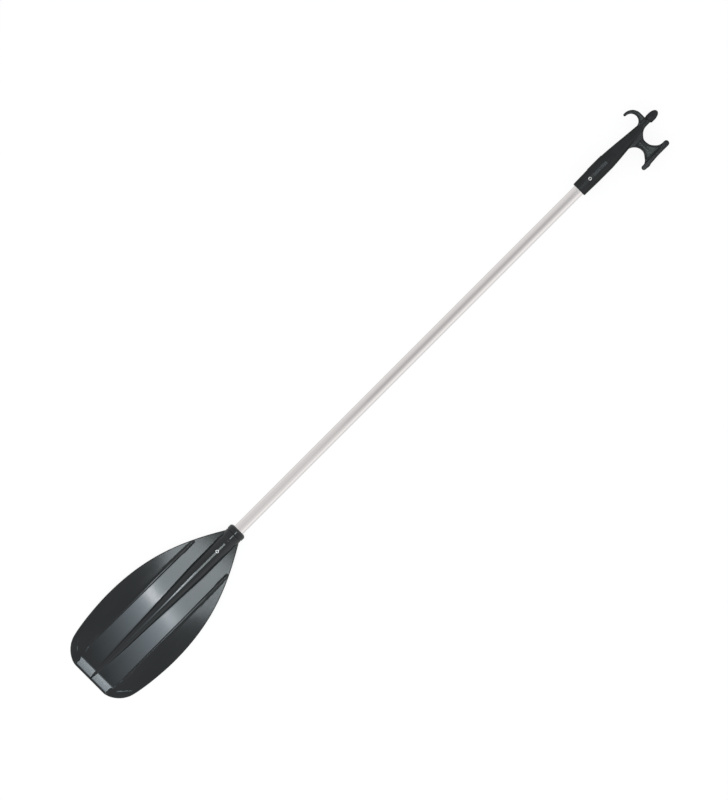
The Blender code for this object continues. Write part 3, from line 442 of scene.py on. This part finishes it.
def flat_plate(name, outline, thickness, edge_round):
    """A flat outline, thick along Z, with rounded edges, round the shaft's axis."""
    curve = bpy.data.curves.new(name, "CURVE")
    curve.dimensions = "2D"
    curve.fill_mode = "BOTH"
    curve.extrude = thickness / 2 - edge_round
    curve.bevel_depth = edge_round
    curve.bevel_resolution = 3
    curve.offset = -edge_round
    spline = curve.splines.new("POLY")
    spline.points.add(len(outline) - 1)
    for point, (x, y) in zip(spline.points, outline):
        point.co = (x, y, 0.0, 1.0)
    spline.use_cyclic_u = True
    guide = bpy.data.objects.new(name, curve)
    bpy.context.scene.collection.objects.link(guide)
    evaluated = guide.evaluated_get(bpy.context.evaluated_depsgraph_get())
    mesh = bpy.data.meshes.new_from_object(evaluated)
    bm = bmesh.new()
    bm.from_mesh(mesh)
    bmesh.ops.remove_doubles(bm, verts=bm.verts, dist=0.00001)
    bmesh.ops.translate(bm, verts=bm.verts, vec=(NOSE_X, 0.0, AXIS_HEIGHT))
    bpy.data.meshes.remove(mesh)
    bpy.data.objects.remove(guide, do_unlink=True)
    return finish_mesh(name, bm)


def bake(obj):
    """Make the evaluated shape the object's own mesh."""
    evaluated = obj.evaluated_get(bpy.context.evaluated_depsgraph_get())
    mesh = bpy.data.meshes.new_from_object(evaluated)
    obj.modifiers.clear()
    obj.data = mesh


def sink_pockets(plate, outline, thickness, offset, edge_round):
    """Cut a pocket into both faces of a plate, by cutters at an offset from its middle."""
    for side in (-1, 1):
        cutter = flat_plate("pocket", outline, thickness, edge_round)
        cutter.location.z = side * offset
        boolean = plate.modifiers.new("Cut", "BOOLEAN")
        boolean.operation = "DIFFERENCE"
        boolean.solver = "EXACT"
        boolean.object = cutter
        bake(plate)
        bpy.data.objects.remove(cutter, do_unlink=True)


def angle_at(y, centre, radius):
    """The angle in degrees at which a circle's +X half passes a place across the shaft."""
    return math.degrees(math.asin((y - centre[1]) / radius))


def make_stem():
    rear_arc = bulged_arc(REAR_GAP, REAR_GAP_RADIUS, 90, -88, 60, REAR_BULGES)
    front_arc = bulged_arc(FRONT_GAP, FRONT_GAP_RADIUS, 268, 90, 60, FRONT_BULGES)
    outline = ([(-0.0240, 0.0025), (REAR_GAP[0], 0.0025)] + rear_arc
               + [(rear_arc[-1][0], rear_arc[-1][1] - 0.0042),
                  (front_arc[0][0], front_arc[0][1] - 0.0056)]
               + front_arc + [(-0.0240, front_arc[-1][1])])
    stem = flat_plate("stem", outline, STEM_THICKNESS, 0.0015)
    rear, front = REAR_GAP_RADIUS + STEM_RIM, FRONT_GAP_RADIUS + STEM_RIM
    rear_angles = [angle_at(y, REAR_GAP, rear) for y in STEM_POCKET]
    front_angles = [180 - angle_at(y, FRONT_GAP, front) for y in reversed(STEM_POCKET)]
    pocket = (bulged_arc(REAR_GAP, rear, *rear_angles, 30, REAR_BULGES)
              + bulged_arc(FRONT_GAP, front, *front_angles, 30, FRONT_BULGES))
    sink_pockets(stem, pocket, 0.0060, 0.0060, 0.0004)
    return stem


def make_stem_rib():
    """A low rounded rib down the middle of the stem's two webs."""
    middle = (REAR_GAP[0] + REAR_GAP_RADIUS + FRONT_GAP[0] - FRONT_GAP_RADIUS) / 2
    half, top, foot = 0.0014, -0.0150, -0.0420
    outline = [(middle - half, top), (middle - half, foot),
               (middle + half, foot), (middle + half, top)]
    return flat_plate("stem_rib", outline, 0.0078, 0.0011)


def make_foot():
    rear = (-0.0928, REAR_GAP[1] - REAR_GAP_RADIUS - 0.0040)
    front = (-0.0310, FOOT_FACE + FOOT_FRONT_RADIUS)
    outline = bulged_arc(rear, FOOT_REAR_RADIUS, 90, 250, 20)
    outline += [(-0.0835, FOOT_FACE - 0.0030), (-0.0780, FOOT_FACE - 0.0014), (-0.0590, FOOT_FACE)]
    outline += bulged_arc(front, FOOT_FRONT_RADIUS, -90, 90, 24)
    outline += [(FRONT_GAP[0], FOOT_FACE + 0.0112), (-0.0451, FOOT_FACE + 0.0079)]
    return flat_plate("foot", outline, FOOT_THICKNESS, 0.0018)


def make_curl():
    outer_points = bulged_arc(CURL_OUTER, CURL_OUTER_RADIUS, 0, CURL_TIP_ANGLE, 40)
    inner_points = bulged_arc(CURL_INNER, CURL_INNER_RADIUS, CURL_TIP_ANGLE, -90, 60)
    outer_end, inner_end = Vector(outer_points[-1]), Vector(inner_points[0])
    middle = (outer_end + inner_end) / 2
    half = (outer_end - inner_end).length / 2
    start = math.degrees(math.atan2(outer_end.y - middle.y, outer_end.x - middle.x))
    tip = bulged_arc(middle, half, start, start + 180, 12)[1:-1]
    back = CURL_OUTER[0] + CURL_OUTER_RADIUS
    outline = ([(-0.0727, -0.0025), (back, -0.0025)] + outer_points + tip + inner_points
               + [(-0.0727, CURL_FOOT)])
    curl = flat_plate("curl", outline, CURL_THICKNESS, 0.0016)
    inner_radius = CURL_INNER_RADIUS + CURL_RIM
    outer_radius = CURL_OUTER_RADIUS - CURL_RIM
    low = -math.degrees(math.asin(CURL_INNER_RADIUS / inner_radius))
    pocket = ([(CURL_OUTER[0] + outer_radius, CURL_FOOT)]
              + bulged_arc(CURL_OUTER, outer_radius, 0, CURL_RIM_END_ANGLE, 12)
              + bulged_arc(CURL_INNER, inner_radius, CURL_RIM_END_ANGLE, low, 30))
    sink_pockets(curl, pocket, 0.0045, 0.00475, 0.0003)
    return curl


def make_head_body():
    """The tapered body with the socket's bore, from the neck behind the nose to the mouth."""
    mouth = NOSE_X - HEAD_LENGTH
    bore_end = mouth + HEAD_BORE_DEPTH
    wall = HEAD_SOCKET_RADIUS
    taper = bezier((-0.0485, 0.0083), (-0.0700, 0.0098), (-0.1100, 0.0146), (-0.1350, wall), 40)
    profile = [(0.0, NOSE_X - 0.0200), (NECK_RADIUS, NOSE_X - 0.0200),
               (NECK_RADIUS, NOSE_X - 0.0380), (0.0056, NOSE_X - 0.0410),
               (0.0072, NOSE_X - 0.0455)]
    profile += [(radius, NOSE_X + along) for along, radius in taper]
    profile += [(wall, mouth + 0.0380), (wall - 0.0008, mouth + 0.0016)]
    profile += [(radius, along) for along, radius in
                bulged_arc((mouth + 0.0012, wall - 0.0020), 0.0012, 90, 180, 6)]
    profile += [(BORE_RADIUS + MOUTH_CHAMFER, mouth), (BORE_RADIUS, mouth + MOUTH_CHAMFER),
                (BORE_RADIUS, bore_end), (0.0, bore_end)]
    return turned("hook_body", profile, 128, "X", (0, 0, AXIS_HEIGHT))


def make_nose():
    dome = [(NOSE_RADIUS * math.sin(turn), NOSE_X - NOSE_REACH * (1 - math.cos(turn)))
            for turn in (math.radians(angle) for angle in range(0, 91, 5))]
    profile = dome + [(NOSE_RADIUS, NOSE_X - 0.0218), (0.0077, NOSE_X - 0.0242),
                      (NECK_RADIUS, NOSE_X - 0.0252), (0.0, NOSE_X - 0.0252)]
    return turned("nose", profile, 96, "X", (0, NOSE_OFFSET, AXIS_HEIGHT))


def make_pad():
    """The low flat pad on the socket's side, towards the curl."""
    length, depth, _ = PAD_SIZE
    bm = bmesh.new()
    bmesh.ops.create_cube(bm, size=1.0)
    bmesh.ops.scale(bm, vec=PAD_SIZE, verts=bm.verts)
    mouth = NOSE_X - HEAD_LENGTH
    bmesh.ops.translate(bm, verts=bm.verts, vec=(
        mouth + PAD_START + length / 2, HEAD_SOCKET_RADIUS + PAD_HEIGHT - depth / 2, AXIS_HEIGHT))
    return finish_mesh("pad", bm)


def make_hook_head():
    pieces = [make_head_body(), make_nose(), make_stem(), make_stem_rib(), make_foot(),
              make_curl(), make_pad()]
    bm = bmesh.new()
    for piece in pieces:
        bm.from_mesh(piece.data)
        bpy.data.objects.remove(piece, do_unlink=True)
    head = finish_mesh("hook_head_moulding", bm)
    remesh = head.modifiers.new("Melt together", "REMESH")
    remesh.mode = "VOXEL"
    remesh.voxel_size = VOXEL
    bake(head)
    relax = head.modifiers.new("Soften", "SMOOTH")
    relax.factor = 0.5
    relax.iterations = 6
    bake(head)
    head.data.shade_smooth()
    return head


# The shaft and the rivets

def make_shaft():
    """The open tube, with extra rings along it so that its shading stays even."""
    start, end = tube_low.x, tube_high.x
    inner = SHAFT_RADIUS - SHAFT_WALL
    lip = 0.0003
    profile = [(inner, start + lip), (inner + lip, start), (SHAFT_RADIUS - lip, start),
               (SHAFT_RADIUS, start + lip)]
    places = [0.001] + [i / 12 for i in range(1, 12)] + [0.999]
    profile += [(SHAFT_RADIUS, mix(start + lip, end - lip, place)) for place in places]
    profile += [(SHAFT_RADIUS, end - lip), (SHAFT_RADIUS - lip, end), (inner + lip, end),
                (inner, end - lip)]
    return turned("shaft", profile, 128, "X", (0, 0, AXIS_HEIGHT))


def make_rivet(node):
    """A crowned rivet head round a hole, and the sleeve and swollen tail below it."""
    low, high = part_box(node)
    x = (low.x + high.x) / 2
    top, seat = high.z, high.z - 0.0012
    head, body, bore, tail = 0.0034, 0.0020, 0.0012, 0.0030
    crown, crown_round, hole = 0.0025, 0.0009, 0.0021
    profile = [(bore, top - 0.0012), (hole - 0.0001, top - 0.0011), (hole, top - 0.0006)]
    profile += [(radius, height) for height, radius in
                bulged_arc((top - crown_round, crown), crown_round, -26, 90, 10)]
    profile += [(head, seat + 0.0001), (head - 0.0001, seat), (body, seat),
                (body, low.z + 0.0026), (tail, low.z + 0.0026), (tail, low.z + 0.0017),
                (body, low.z), (bore, low.z)]
    return turned(node + "_sleeve", profile, 64, "Z", (x, 0, 0))


def make_mandrel(node):
    """The mandrel's broken stub, deep in the head, and the knob under the tail."""
    low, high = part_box(node)
    x = (low.x + high.x) / 2
    stub, knob, swollen = 0.0011, 0.0017, 0.0020
    torn = high.z - 0.0007
    profile = [(0.0, torn - 0.0003), (0.0006, torn - 0.0002), (0.0012, torn),
               (swollen, torn - 0.0002), (swollen, torn - 0.0004), (stub, torn - 0.0005),
               (stub, low.z + 0.0016), (knob, low.z + 0.0016),
               (knob, low.z + 0.0008), (stub, low.z), (0.0, low.z)]
    return turned(node + "_stub", profile, 32, "Z", (x, 0, 0), 30)


# Materials

def new_material(name, base, roughness, metallic=0.0):
    material = bpy.data.materials.new(name)
    material.use_nodes = True
    tree = material.node_tree
    shader = tree.nodes["Principled BSDF"]
    shader.inputs["Base Color"].default_value = (*base, 1.0)
    shader.inputs["Roughness"].default_value = roughness
    shader.inputs["Metallic"].default_value = metallic
    return material, tree, shader


def math_node(tree, operation, *values):
    """The result of a Math node that works on sockets and plain numbers."""
    node = tree.nodes.new("ShaderNodeMath")
    node.operation = operation
    for socket, value in zip(node.inputs, values):
        if isinstance(value, float):
            socket.default_value = value
        else:
            tree.links.new(value, socket)
    return node.outputs[0]


def map_range(tree, source, start, end, low=0.0, high=1.0):
    """Low up to the start, high from the end on, and a straight change between them."""
    span = tree.nodes.new("ShaderNodeMapRange")
    for name, value in (("From Min", start), ("From Max", end), ("To Min", low), ("To Max", high)):
        span.inputs[name].default_value = value
    tree.links.new(source, span.inputs["Value"])
    return span.outputs["Result"]


def band(tree, source, low, high, soft):
    """One between two values, and nought outside them."""
    return math_node(tree, "MULTIPLY", map_range(tree, source, low - soft, low),
                     map_range(tree, source, high + soft, high))


def split_vector(tree, source):
    node = tree.nodes.new("ShaderNodeSeparateXYZ")
    tree.links.new(source, node.inputs[0])
    return node.outputs


def facing(tree):
    """Nought where a surface faces the eye, one where it is seen along itself."""
    weight = tree.nodes.new("ShaderNodeLayerWeight")
    weight.inputs["Blend"].default_value = 0.5
    return weight.outputs["Facing"]


def object_noise(tree, scale, stretch=(1.0, 1.0, 1.0), detail=4.0):
    coords = tree.nodes.new("ShaderNodeTexCoord")
    mapping = tree.nodes.new("ShaderNodeMapping")
    mapping.inputs["Scale"].default_value = stretch
    noise = tree.nodes.new("ShaderNodeTexNoise")
    noise.inputs["Scale"].default_value = scale
    noise.inputs["Detail"].default_value = detail
    tree.links.new(coords.outputs["Object"], mapping.inputs["Vector"])
    tree.links.new(mapping.outputs["Vector"], noise.inputs["Vector"])
    return noise.outputs["Fac"]


def ramp_between(tree, source, low, high, first, second):
    """The first colour up to low, the second from high on."""
    ramp = tree.nodes.new("ShaderNodeValToRGB")
    for element, position, colour in zip(ramp.color_ramp.elements, (low, high), (first, second)):
        element.position = position
        element.color = (*colour, 1.0)
    tree.links.new(source, ramp.inputs["Fac"])
    return ramp.outputs["Color"]


def mix_colours(tree, share, first, second, blend="MIX"):
    node = tree.nodes.new("ShaderNodeMix")
    node.data_type = "RGBA"
    node.blend_type = blend
    if isinstance(share, float):
        node.inputs["Factor"].default_value = share
    else:
        tree.links.new(share, node.inputs["Factor"])
    tree.links.new(first, node.inputs["A"])
    tree.links.new(second, node.inputs["B"])
    return node.outputs["Result"]


def vary_roughness(tree, shader, source, low, high):
    tree.links.new(map_range(tree, source, 0.0, 1.0, low, high), shader.inputs["Roughness"])


def fade_gloss(tree, shader, level, start=0.25, end=0.75):
    """Dull the reflection at grazing angles, as a slightly worn moulding does."""
    gloss = map_range(tree, facing(tree), start, end, level, level * 0.1)
    tree.links.new(gloss, shader.inputs["Specular IOR Level"])


def add_bump(tree, shader, source, distance):
    bump = tree.nodes.new("ShaderNodeBump")
    bump.inputs["Distance"].default_value = distance
    bump.inputs["Strength"].default_value = 1.0
    tree.links.new(source, bump.inputs["Height"])
    tree.links.new(bump.outputs["Normal"], shader.inputs["Normal"])


def spine_foot_painted_light_mask(tree):
    """The steep foot and flanks of the spine, coloured paler as painted light that lifts the shade
    falling at the spine's foot.
    """
    coords = tree.nodes.new("ShaderNodeTexCoord")
    place = split_vector(tree, coords.outputs["Object"])
    upwards = split_vector(tree, coords.outputs["Normal"])["Z"]
    level = math_node(tree, "MULTIPLY", upwards, upwards)
    near = band(tree, place["Y"], -0.0170, 0.0170, 0.0010)
    return math_node(tree, "MULTIPLY", near, map_range(tree, level, 0.50, 0.10))


def blade_plastic():
    material, tree, shader = new_material("blade_plastic", (0.012, 0.014, 0.015), 0.16)
    fade_gloss(tree, shader, 0.35)
    cloud = object_noise(tree, 14.0, (0.5, 2.0, 1.0))
    black = ramp_between(tree, cloud, 0.30, 0.75, (0.010, 0.012, 0.013), (0.015, 0.017, 0.018))
    # Painted light: a paler colour on the spine's steep foot, lifting the shade that falls there.
    painted_light_foot = ramp_between(tree, cloud, 0.30, 0.75, (0.022, 0.025, 0.026), (0.030, 0.033, 0.034))
    colour = mix_colours(tree, spine_foot_painted_light_mask(tree), black, painted_light_foot)
    tree.links.new(colour, shader.inputs["Base Color"])
    vary_roughness(tree, shader, object_noise(tree, 60.0, (0.25, 1.6, 1.0)), 0.09, 0.13)
    add_bump(tree, shader, object_noise(tree, 900.0, detail=2.0), 0.000004)
    return material


def web_mask(tree):
    """The sunk webs of the hook's stem and curl, coloured paler, the stem's web palest towards the
    foot.
    """
    coords = tree.nodes.new("ShaderNodeTexCoord")
    x, y, z = split_vector(tree, coords.outputs["Object"])
    sunk = band(tree, z, AXIS_HEIGHT - WEB_DEPTH, AXIS_HEIGHT + WEB_DEPTH, 0.0005)
    stem = math_node(tree, "MULTIPLY", band(tree, x, NOSE_X - 0.1050, NOSE_X - 0.0300, 0.0010),
                     band(tree, y, -0.0520, -0.0160, 0.0030))
    palest_low = map_range(tree, y, -0.0260, -0.0400, 0.30, 1.0)
    stem = math_node(tree, "MULTIPLY", stem, palest_low)
    curl = math_node(tree, "MULTIPLY", band(tree, x, NOSE_X - 0.0480, NOSE_X - 0.0200, 0.0030),
                     band(tree, y, 0.0088, 0.0420, 0.0010))
    return math_node(tree, "MULTIPLY", sunk, math_node(tree, "ADD", stem, curl))


def hook_plastic():
    material, tree, shader = new_material("hook_plastic", (0.012, 0.014, 0.014), 0.42)
    fade_gloss(tree, shader, 0.25, 0.10, 0.45)
    skin = ramp_between(tree, object_noise(tree, 40.0), 0.30, 0.75,
                        (0.012, 0.014, 0.0145), (0.018, 0.020, 0.021))
    web = ramp_between(tree, object_noise(tree, 260.0), 0.35, 0.65,
                       (0.031, 0.038, 0.037), (0.059, 0.071, 0.068))
    colour = mix_colours(tree, web_mask(tree), skin, web)
    tree.links.new(colour, shader.inputs["Base Color"])
    vary_roughness(tree, shader, object_noise(tree, 150.0), 0.15, 0.25)
    add_bump(tree, shader, object_noise(tree, 1600.0, detail=3.0), 0.00003)
    return material


def anodised_aluminium():
    """Drawn tube: fine lines along it, and a gloss that spreads across them."""
    material, tree, shader = new_material("anodised_aluminium", (0.80, 0.77, 0.76), 0.18, 1.0)
    tone = ramp_between(tree, object_noise(tree, 9.0, (0.4, 1.0, 1.0)), 0.30, 0.70,
                        (0.79, 0.76, 0.75), (0.81, 0.78, 0.77))
    # Painted shade: the colour darkens towards the tube's grazing flanks, dimming their reflection
    # of the bright floor.
    painted_shade_edge = ramp_between(tree, facing(tree), 0.25, 0.70, (1.0, 1.0, 1.0), (0.72, 0.72, 0.72))
    colour = mix_colours(tree, 1.0, tone, painted_shade_edge, "MULTIPLY")
    tree.links.new(colour, shader.inputs["Base Color"])
    shader.inputs["Anisotropic"].default_value = 0.97
    drawn = tree.nodes.new("ShaderNodeTangent")
    drawn.direction_type = "RADIAL"
    drawn.axis = "X"
    tree.links.new(drawn.outputs["Tangent"], shader.inputs["Tangent"])
    lines = object_noise(tree, 700.0, (0.004, 1.0, 1.0))
    vary_roughness(tree, shader, lines, 0.10, 0.15)
    add_bump(tree, shader, lines, 0.000006)
    return material


def rivet_aluminium():
    material, tree, shader = new_material("rivet_aluminium", (0.66, 0.66, 0.65), 0.34, 1.0)
    marks = object_noise(tree, 1200.0)
    vary_roughness(tree, shader, marks, 0.28, 0.42)
    add_bump(tree, shader, marks, 0.00002)
    return material


def mandrel_steel():
    # A real steel stub, coloured near black as painted shade for the shade deep in the rivet's
    # hole.
    material, tree, shader = new_material("mandrel_steel", (0.05, 0.045, 0.04), 0.55, 1.0)
    marks = object_noise(tree, 2500.0)
    # Painted shade: the stub's dark tones, varied at random.
    colour = ramp_between(tree, marks, 0.35, 0.65, (0.03, 0.028, 0.025), (0.08, 0.075, 0.07))
    tree.links.new(colour, shader.inputs["Base Color"])
    add_bump(tree, shader, marks, 0.00008)
    return material


def closed_cell_foam():
    material, tree, shader = new_material("closed_cell_foam", (0.75, 0.75, 0.72), 0.90)
    coords = tree.nodes.new("ShaderNodeTexCoord")
    cells = tree.nodes.new("ShaderNodeTexVoronoi")
    cells.inputs["Scale"].default_value = 900.0
    tree.links.new(coords.outputs["Object"], cells.inputs["Vector"])
    distance = cells.outputs["Distance"]
    colour = ramp_between(tree, distance, 0.1, 0.6, (0.78, 0.78, 0.75), (0.66, 0.66, 0.63))
    tree.links.new(colour, shader.inputs["Base Color"])
    add_bump(tree, shader, distance, 0.0002)
    return material


def dress(obj, material, node):
    """Give a new piece its material, and let it stand for its CAD node."""
    obj.data.materials.clear()
    obj.data.materials.append(material)
    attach(obj, "root")
    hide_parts(node)


def dress_object():
    plastic, dull = blade_plastic(), hook_plastic()
    bright, steel_and_painted_shade = rivet_aluminium(), mandrel_steel()
    dress(make_blade_shell(), plastic, "paddle_blade")
    dress(make_collar(), plastic, "paddle_blade")
    dress(make_hook_head(), dull, "hook_head")
    dress(make_shaft(), anodised_aluminium(), "shaft_tube")
    for node in ("blade_rivet", "hook_rivet"):
        dress(make_rivet(node), bright, node)
        dress(make_mandrel(node + "_mandrel"), steel_and_painted_shade, node + "_mandrel")
    foam = closed_cell_foam()
    for node in ("blade_end_plug", "hook_end_plug"):
        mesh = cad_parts[node].data
        mesh.materials.clear()
        mesh.materials.append(foam)


# The floor and the room

def diffuse(tree, level):
    node = tree.nodes.new("ShaderNodeBsdfDiffuse")
    node.inputs["Color"].default_value = (level, level, level, 1.0)
    return node.outputs[0]


def make_floor():
    """A plain pale floor, seen as near white by the camera and in reflections."""
    bm = bmesh.new()
    bmesh.ops.create_grid(bm, x_segments=1, y_segments=1, size=150.0)
    floor = finish_mesh("floor", bm)
    floor.location.z = -0.0002
    material = bpy.data.materials.new("floor")
    material.use_nodes = True
    tree = material.node_tree
    tree.nodes.remove(tree.nodes["Principled BSDF"])
    glow = tree.nodes.new("ShaderNodeEmission")
    glow.inputs["Color"].default_value = (0.90, 0.90, 0.90, 1.0)
    pale = tree.nodes.new("ShaderNodeAddShader")
    tree.links.new(glow.outputs[0], pale.inputs[0])
    tree.links.new(diffuse(tree, 0.12), pale.inputs[1])
    path = tree.nodes.new("ShaderNodeLightPath").outputs
    seen = math_node(tree, "MAXIMUM", path["Is Camera Ray"], path["Is Glossy Ray"])
    seen = math_node(tree, "MAXIMUM", seen, path["Is Transmission Ray"])
    choose = tree.nodes.new("ShaderNodeMixShader")
    tree.links.new(seen, choose.inputs[0])
    tree.links.new(diffuse(tree, 0.86), choose.inputs[1])
    tree.links.new(pale.outputs[0], choose.inputs[2])
    tree.links.new(choose.outputs[0], tree.nodes["Material Output"].inputs["Surface"])
    floor.data.materials.append(material)


def make_world():
    """A pale room: bright low down, brighter still on the -Y side, and greyer overhead."""
    world = bpy.data.worlds.new("room")
    bpy.context.scene.world = world
    world.use_nodes = True
    tree = world.node_tree
    coords = tree.nodes.new("ShaderNodeTexCoord")
    _, y, z = split_vector(tree, coords.outputs["Generated"])
    ramp = tree.nodes.new("ShaderNodeValToRGB")
    steps = ((0.0, 0.94), (0.2, 0.96), (0.5, 0.89), (0.75, 0.76), (0.9, 0.64), (1.0, 0.53))
    elements = ramp.color_ramp.elements
    while len(elements) < len(steps):
        elements.new(0.5)
    for element, (position, level) in zip(elements, steps):
        element.position = position
        element.color = (level, level, level, 1.0)
    tree.links.new(z, ramp.inputs["Fac"])
    side = math_node(tree, "MULTIPLY", y, math_node(tree, "SUBTRACT", 1.0, z))
    strength = math_node(tree, "MULTIPLY_ADD", side, -0.19, 1.0)
    background = tree.nodes["Background"]
    tree.links.new(ramp.outputs["Color"], background.inputs["Color"])
    tree.links.new(strength, background.inputs["Strength"])


# The lamps: tables of places along X, and the radiance of a lamp's face there

OVERHEAD = ((-1.090, 0.6), (-1.054, 0.7), (-0.986, 1.3), (-0.934, 2.1), (-0.893, 2.8),
            (-0.851, 3.6), (-0.809, 4.5), (-0.780, 5.5), (-0.747, 6.7), (-0.714, 7.8),
            (-0.694, 9.0), (-0.684, 12.5), (-0.662, 12.5), (-0.652, 11.5), (-0.636, 10.5),
            (-0.622, 8.8), (-0.600, 7.4), (-0.565, 6.8), (-0.523, 7.0), (-0.489, 8.0),
            (-0.460, 9.0), (-0.431, 10.0))
CORE = ((-0.696, 0.0), (-0.686, 7.0), (-0.662, 7.0), (-0.652, 0.0))
BRIGHT_CORE = ((-0.698, 0.0), (-0.688, 12.0), (-0.664, 12.0), (-0.654, 0.0))
SHAFT_LAMP = ((-0.390, 0.17), (-0.270, 0.16), (-0.150, 0.12), (-0.080, 0.06), (-0.020, 0.0))
HOOK_LAMP = ((0.600, 2.5), (0.616, 6.5), (0.668, 6.5), (0.680, 0.0))
OVERHEAD_STRIPS = 54
CORE_STRIPS = 4
OVERHEAD_SIDES = (-0.180, 0.136)        # how far each lamp reaches across the shaft
CORE_SIDES = (-0.036, 0.136)
BRIGHT_CORE_SIDES = (0.006, 0.136)
SHAFT_LAMP_SIDES = (-0.800, 0.800)
HOOK_LAMP_SIDES = (-0.500, 0.500)
LAMP_HEIGHT = 1.22
LAMP_GAP = 0.004            # lamps that share a place hang this far below one another
SLANTS = ((-0.950, -0.680, -0.431), (48.0, 26.0, -8.0))     # places, and the strips' slants there
COOL = ((0.82, 1.00, 1.16), (0.90, 1.00, 1.02))             # the tints at a lamp's two ends
ROSY = ((1.03, 0.97, 0.99), (1.03, 0.97, 0.99))
WHITE = (1.0, 1.0, 1.0)
PALE_BLUE = (0.92, 1.0, 1.08)


def make_lights():
    """A long lamp over the blade, brightest in a narrow slanting band and fading past the tip,
    with faint wide lamps over the shaft and a short one over the hook's socket."""
    make_graded_lamp(OVERHEAD, OVERHEAD_STRIPS, OVERHEAD_SIDES, 0.0, COOL)
    make_graded_lamp(CORE, CORE_STRIPS, CORE_SIDES, LAMP_GAP, ROSY)
    make_graded_lamp(BRIGHT_CORE, CORE_STRIPS, BRIGHT_CORE_SIDES, 2 * LAMP_GAP, ROSY)
    make_stepped_lamp(SHAFT_LAMP, SHAFT_LAMP_SIDES, 3 * LAMP_GAP, WHITE)
    make_stepped_lamp(HOOK_LAMP, HOOK_LAMP_SIDES, 0.0, PALE_BLUE)


def make_graded_lamp(levels, strips, sides, drop, tints):
    """Slanting strips side by side, whose radiances lie on the line through the table's."""
    places, radiances = zip(*levels)
    edges = np.linspace(places[0], places[-1], strips + 1).tolist()
    for i, (start, end) in enumerate(zip(edges, edges[1:])):
        tint = tuple(mix(low, high, i / strips) for low, high in zip(*tints))
        middle = (start + end) / 2
        slant = math.radians(float(np.interp(middle, *SLANTS)))
        radiance = float(np.interp(middle, places, radiances))
        make_strip(start, end, sides, slant, radiance, tint, drop)


def make_stepped_lamp(levels, sides, drop, tint):
    """One straight strip from each place in the table to the next."""
    for (start, radiance), (end, _) in zip(levels, levels[1:]):
        make_strip(start, end, sides, 0.0, radiance, tint, drop)


def make_strip(start, end, sides, slant, radiance, tint, drop):
    """A flat lamp that crosses the overhead lamp's middle line between two places along X."""
    lamp = bpy.data.lights.new("overhead", "AREA")
    lamp.shape = "RECTANGLE"
    lamp.size = (end - start) * math.cos(slant)
    lamp.size_y = (sides[1] - sides[0]) / math.cos(slant)
    lamp.energy = radiance * math.pi * lamp.size * lamp.size_y
    lamp.color = tint
    obj = bpy.data.objects.new("overhead", lamp)
    bpy.context.scene.collection.objects.link(obj)
    middle = sum(sides) / 2
    shift = (middle - sum(OVERHEAD_SIDES) / 2) * math.tan(slant)
    obj.location = ((start + end) / 2 + shift, middle, LAMP_HEIGHT - drop)
    obj.rotation_euler.z = -slant
    obj.visible_camera = False


# The camera

CAMERA_DISTANCE = 20.0
CAMERA_PLACE = (-0.0187, 0.0062)
PICTURE_HEIGHT = 800
METRES_PER_PIXEL = 0.0018662
SENSOR = 36.0


def make_camera():
    """The photograph's view: square down on the oar, with the shaft at 45 degrees."""
    camera = bpy.data.cameras.new("camera")
    camera.sensor_width = SENSOR
    camera.lens = SENSOR * CAMERA_DISTANCE / (PICTURE_HEIGHT * METRES_PER_PIXEL)
    camera.clip_start = 1.0
    camera.clip_end = 200.0
    obj = bpy.data.objects.new("camera", camera)
    bpy.context.scene.collection.objects.link(obj)
    obj.location = (*CAMERA_PLACE, AXIS_HEIGHT + CAMERA_DISTANCE)
    obj.rotation_euler = (0.0, 0.0, math.radians(-45))
    bpy.context.scene.camera = obj


dress_object()
make_floor()
make_world()
make_lights()
make_camera()
bpy.context.scene.view_settings.view_transform = "Standard"

bpy.context.view_layer.update()
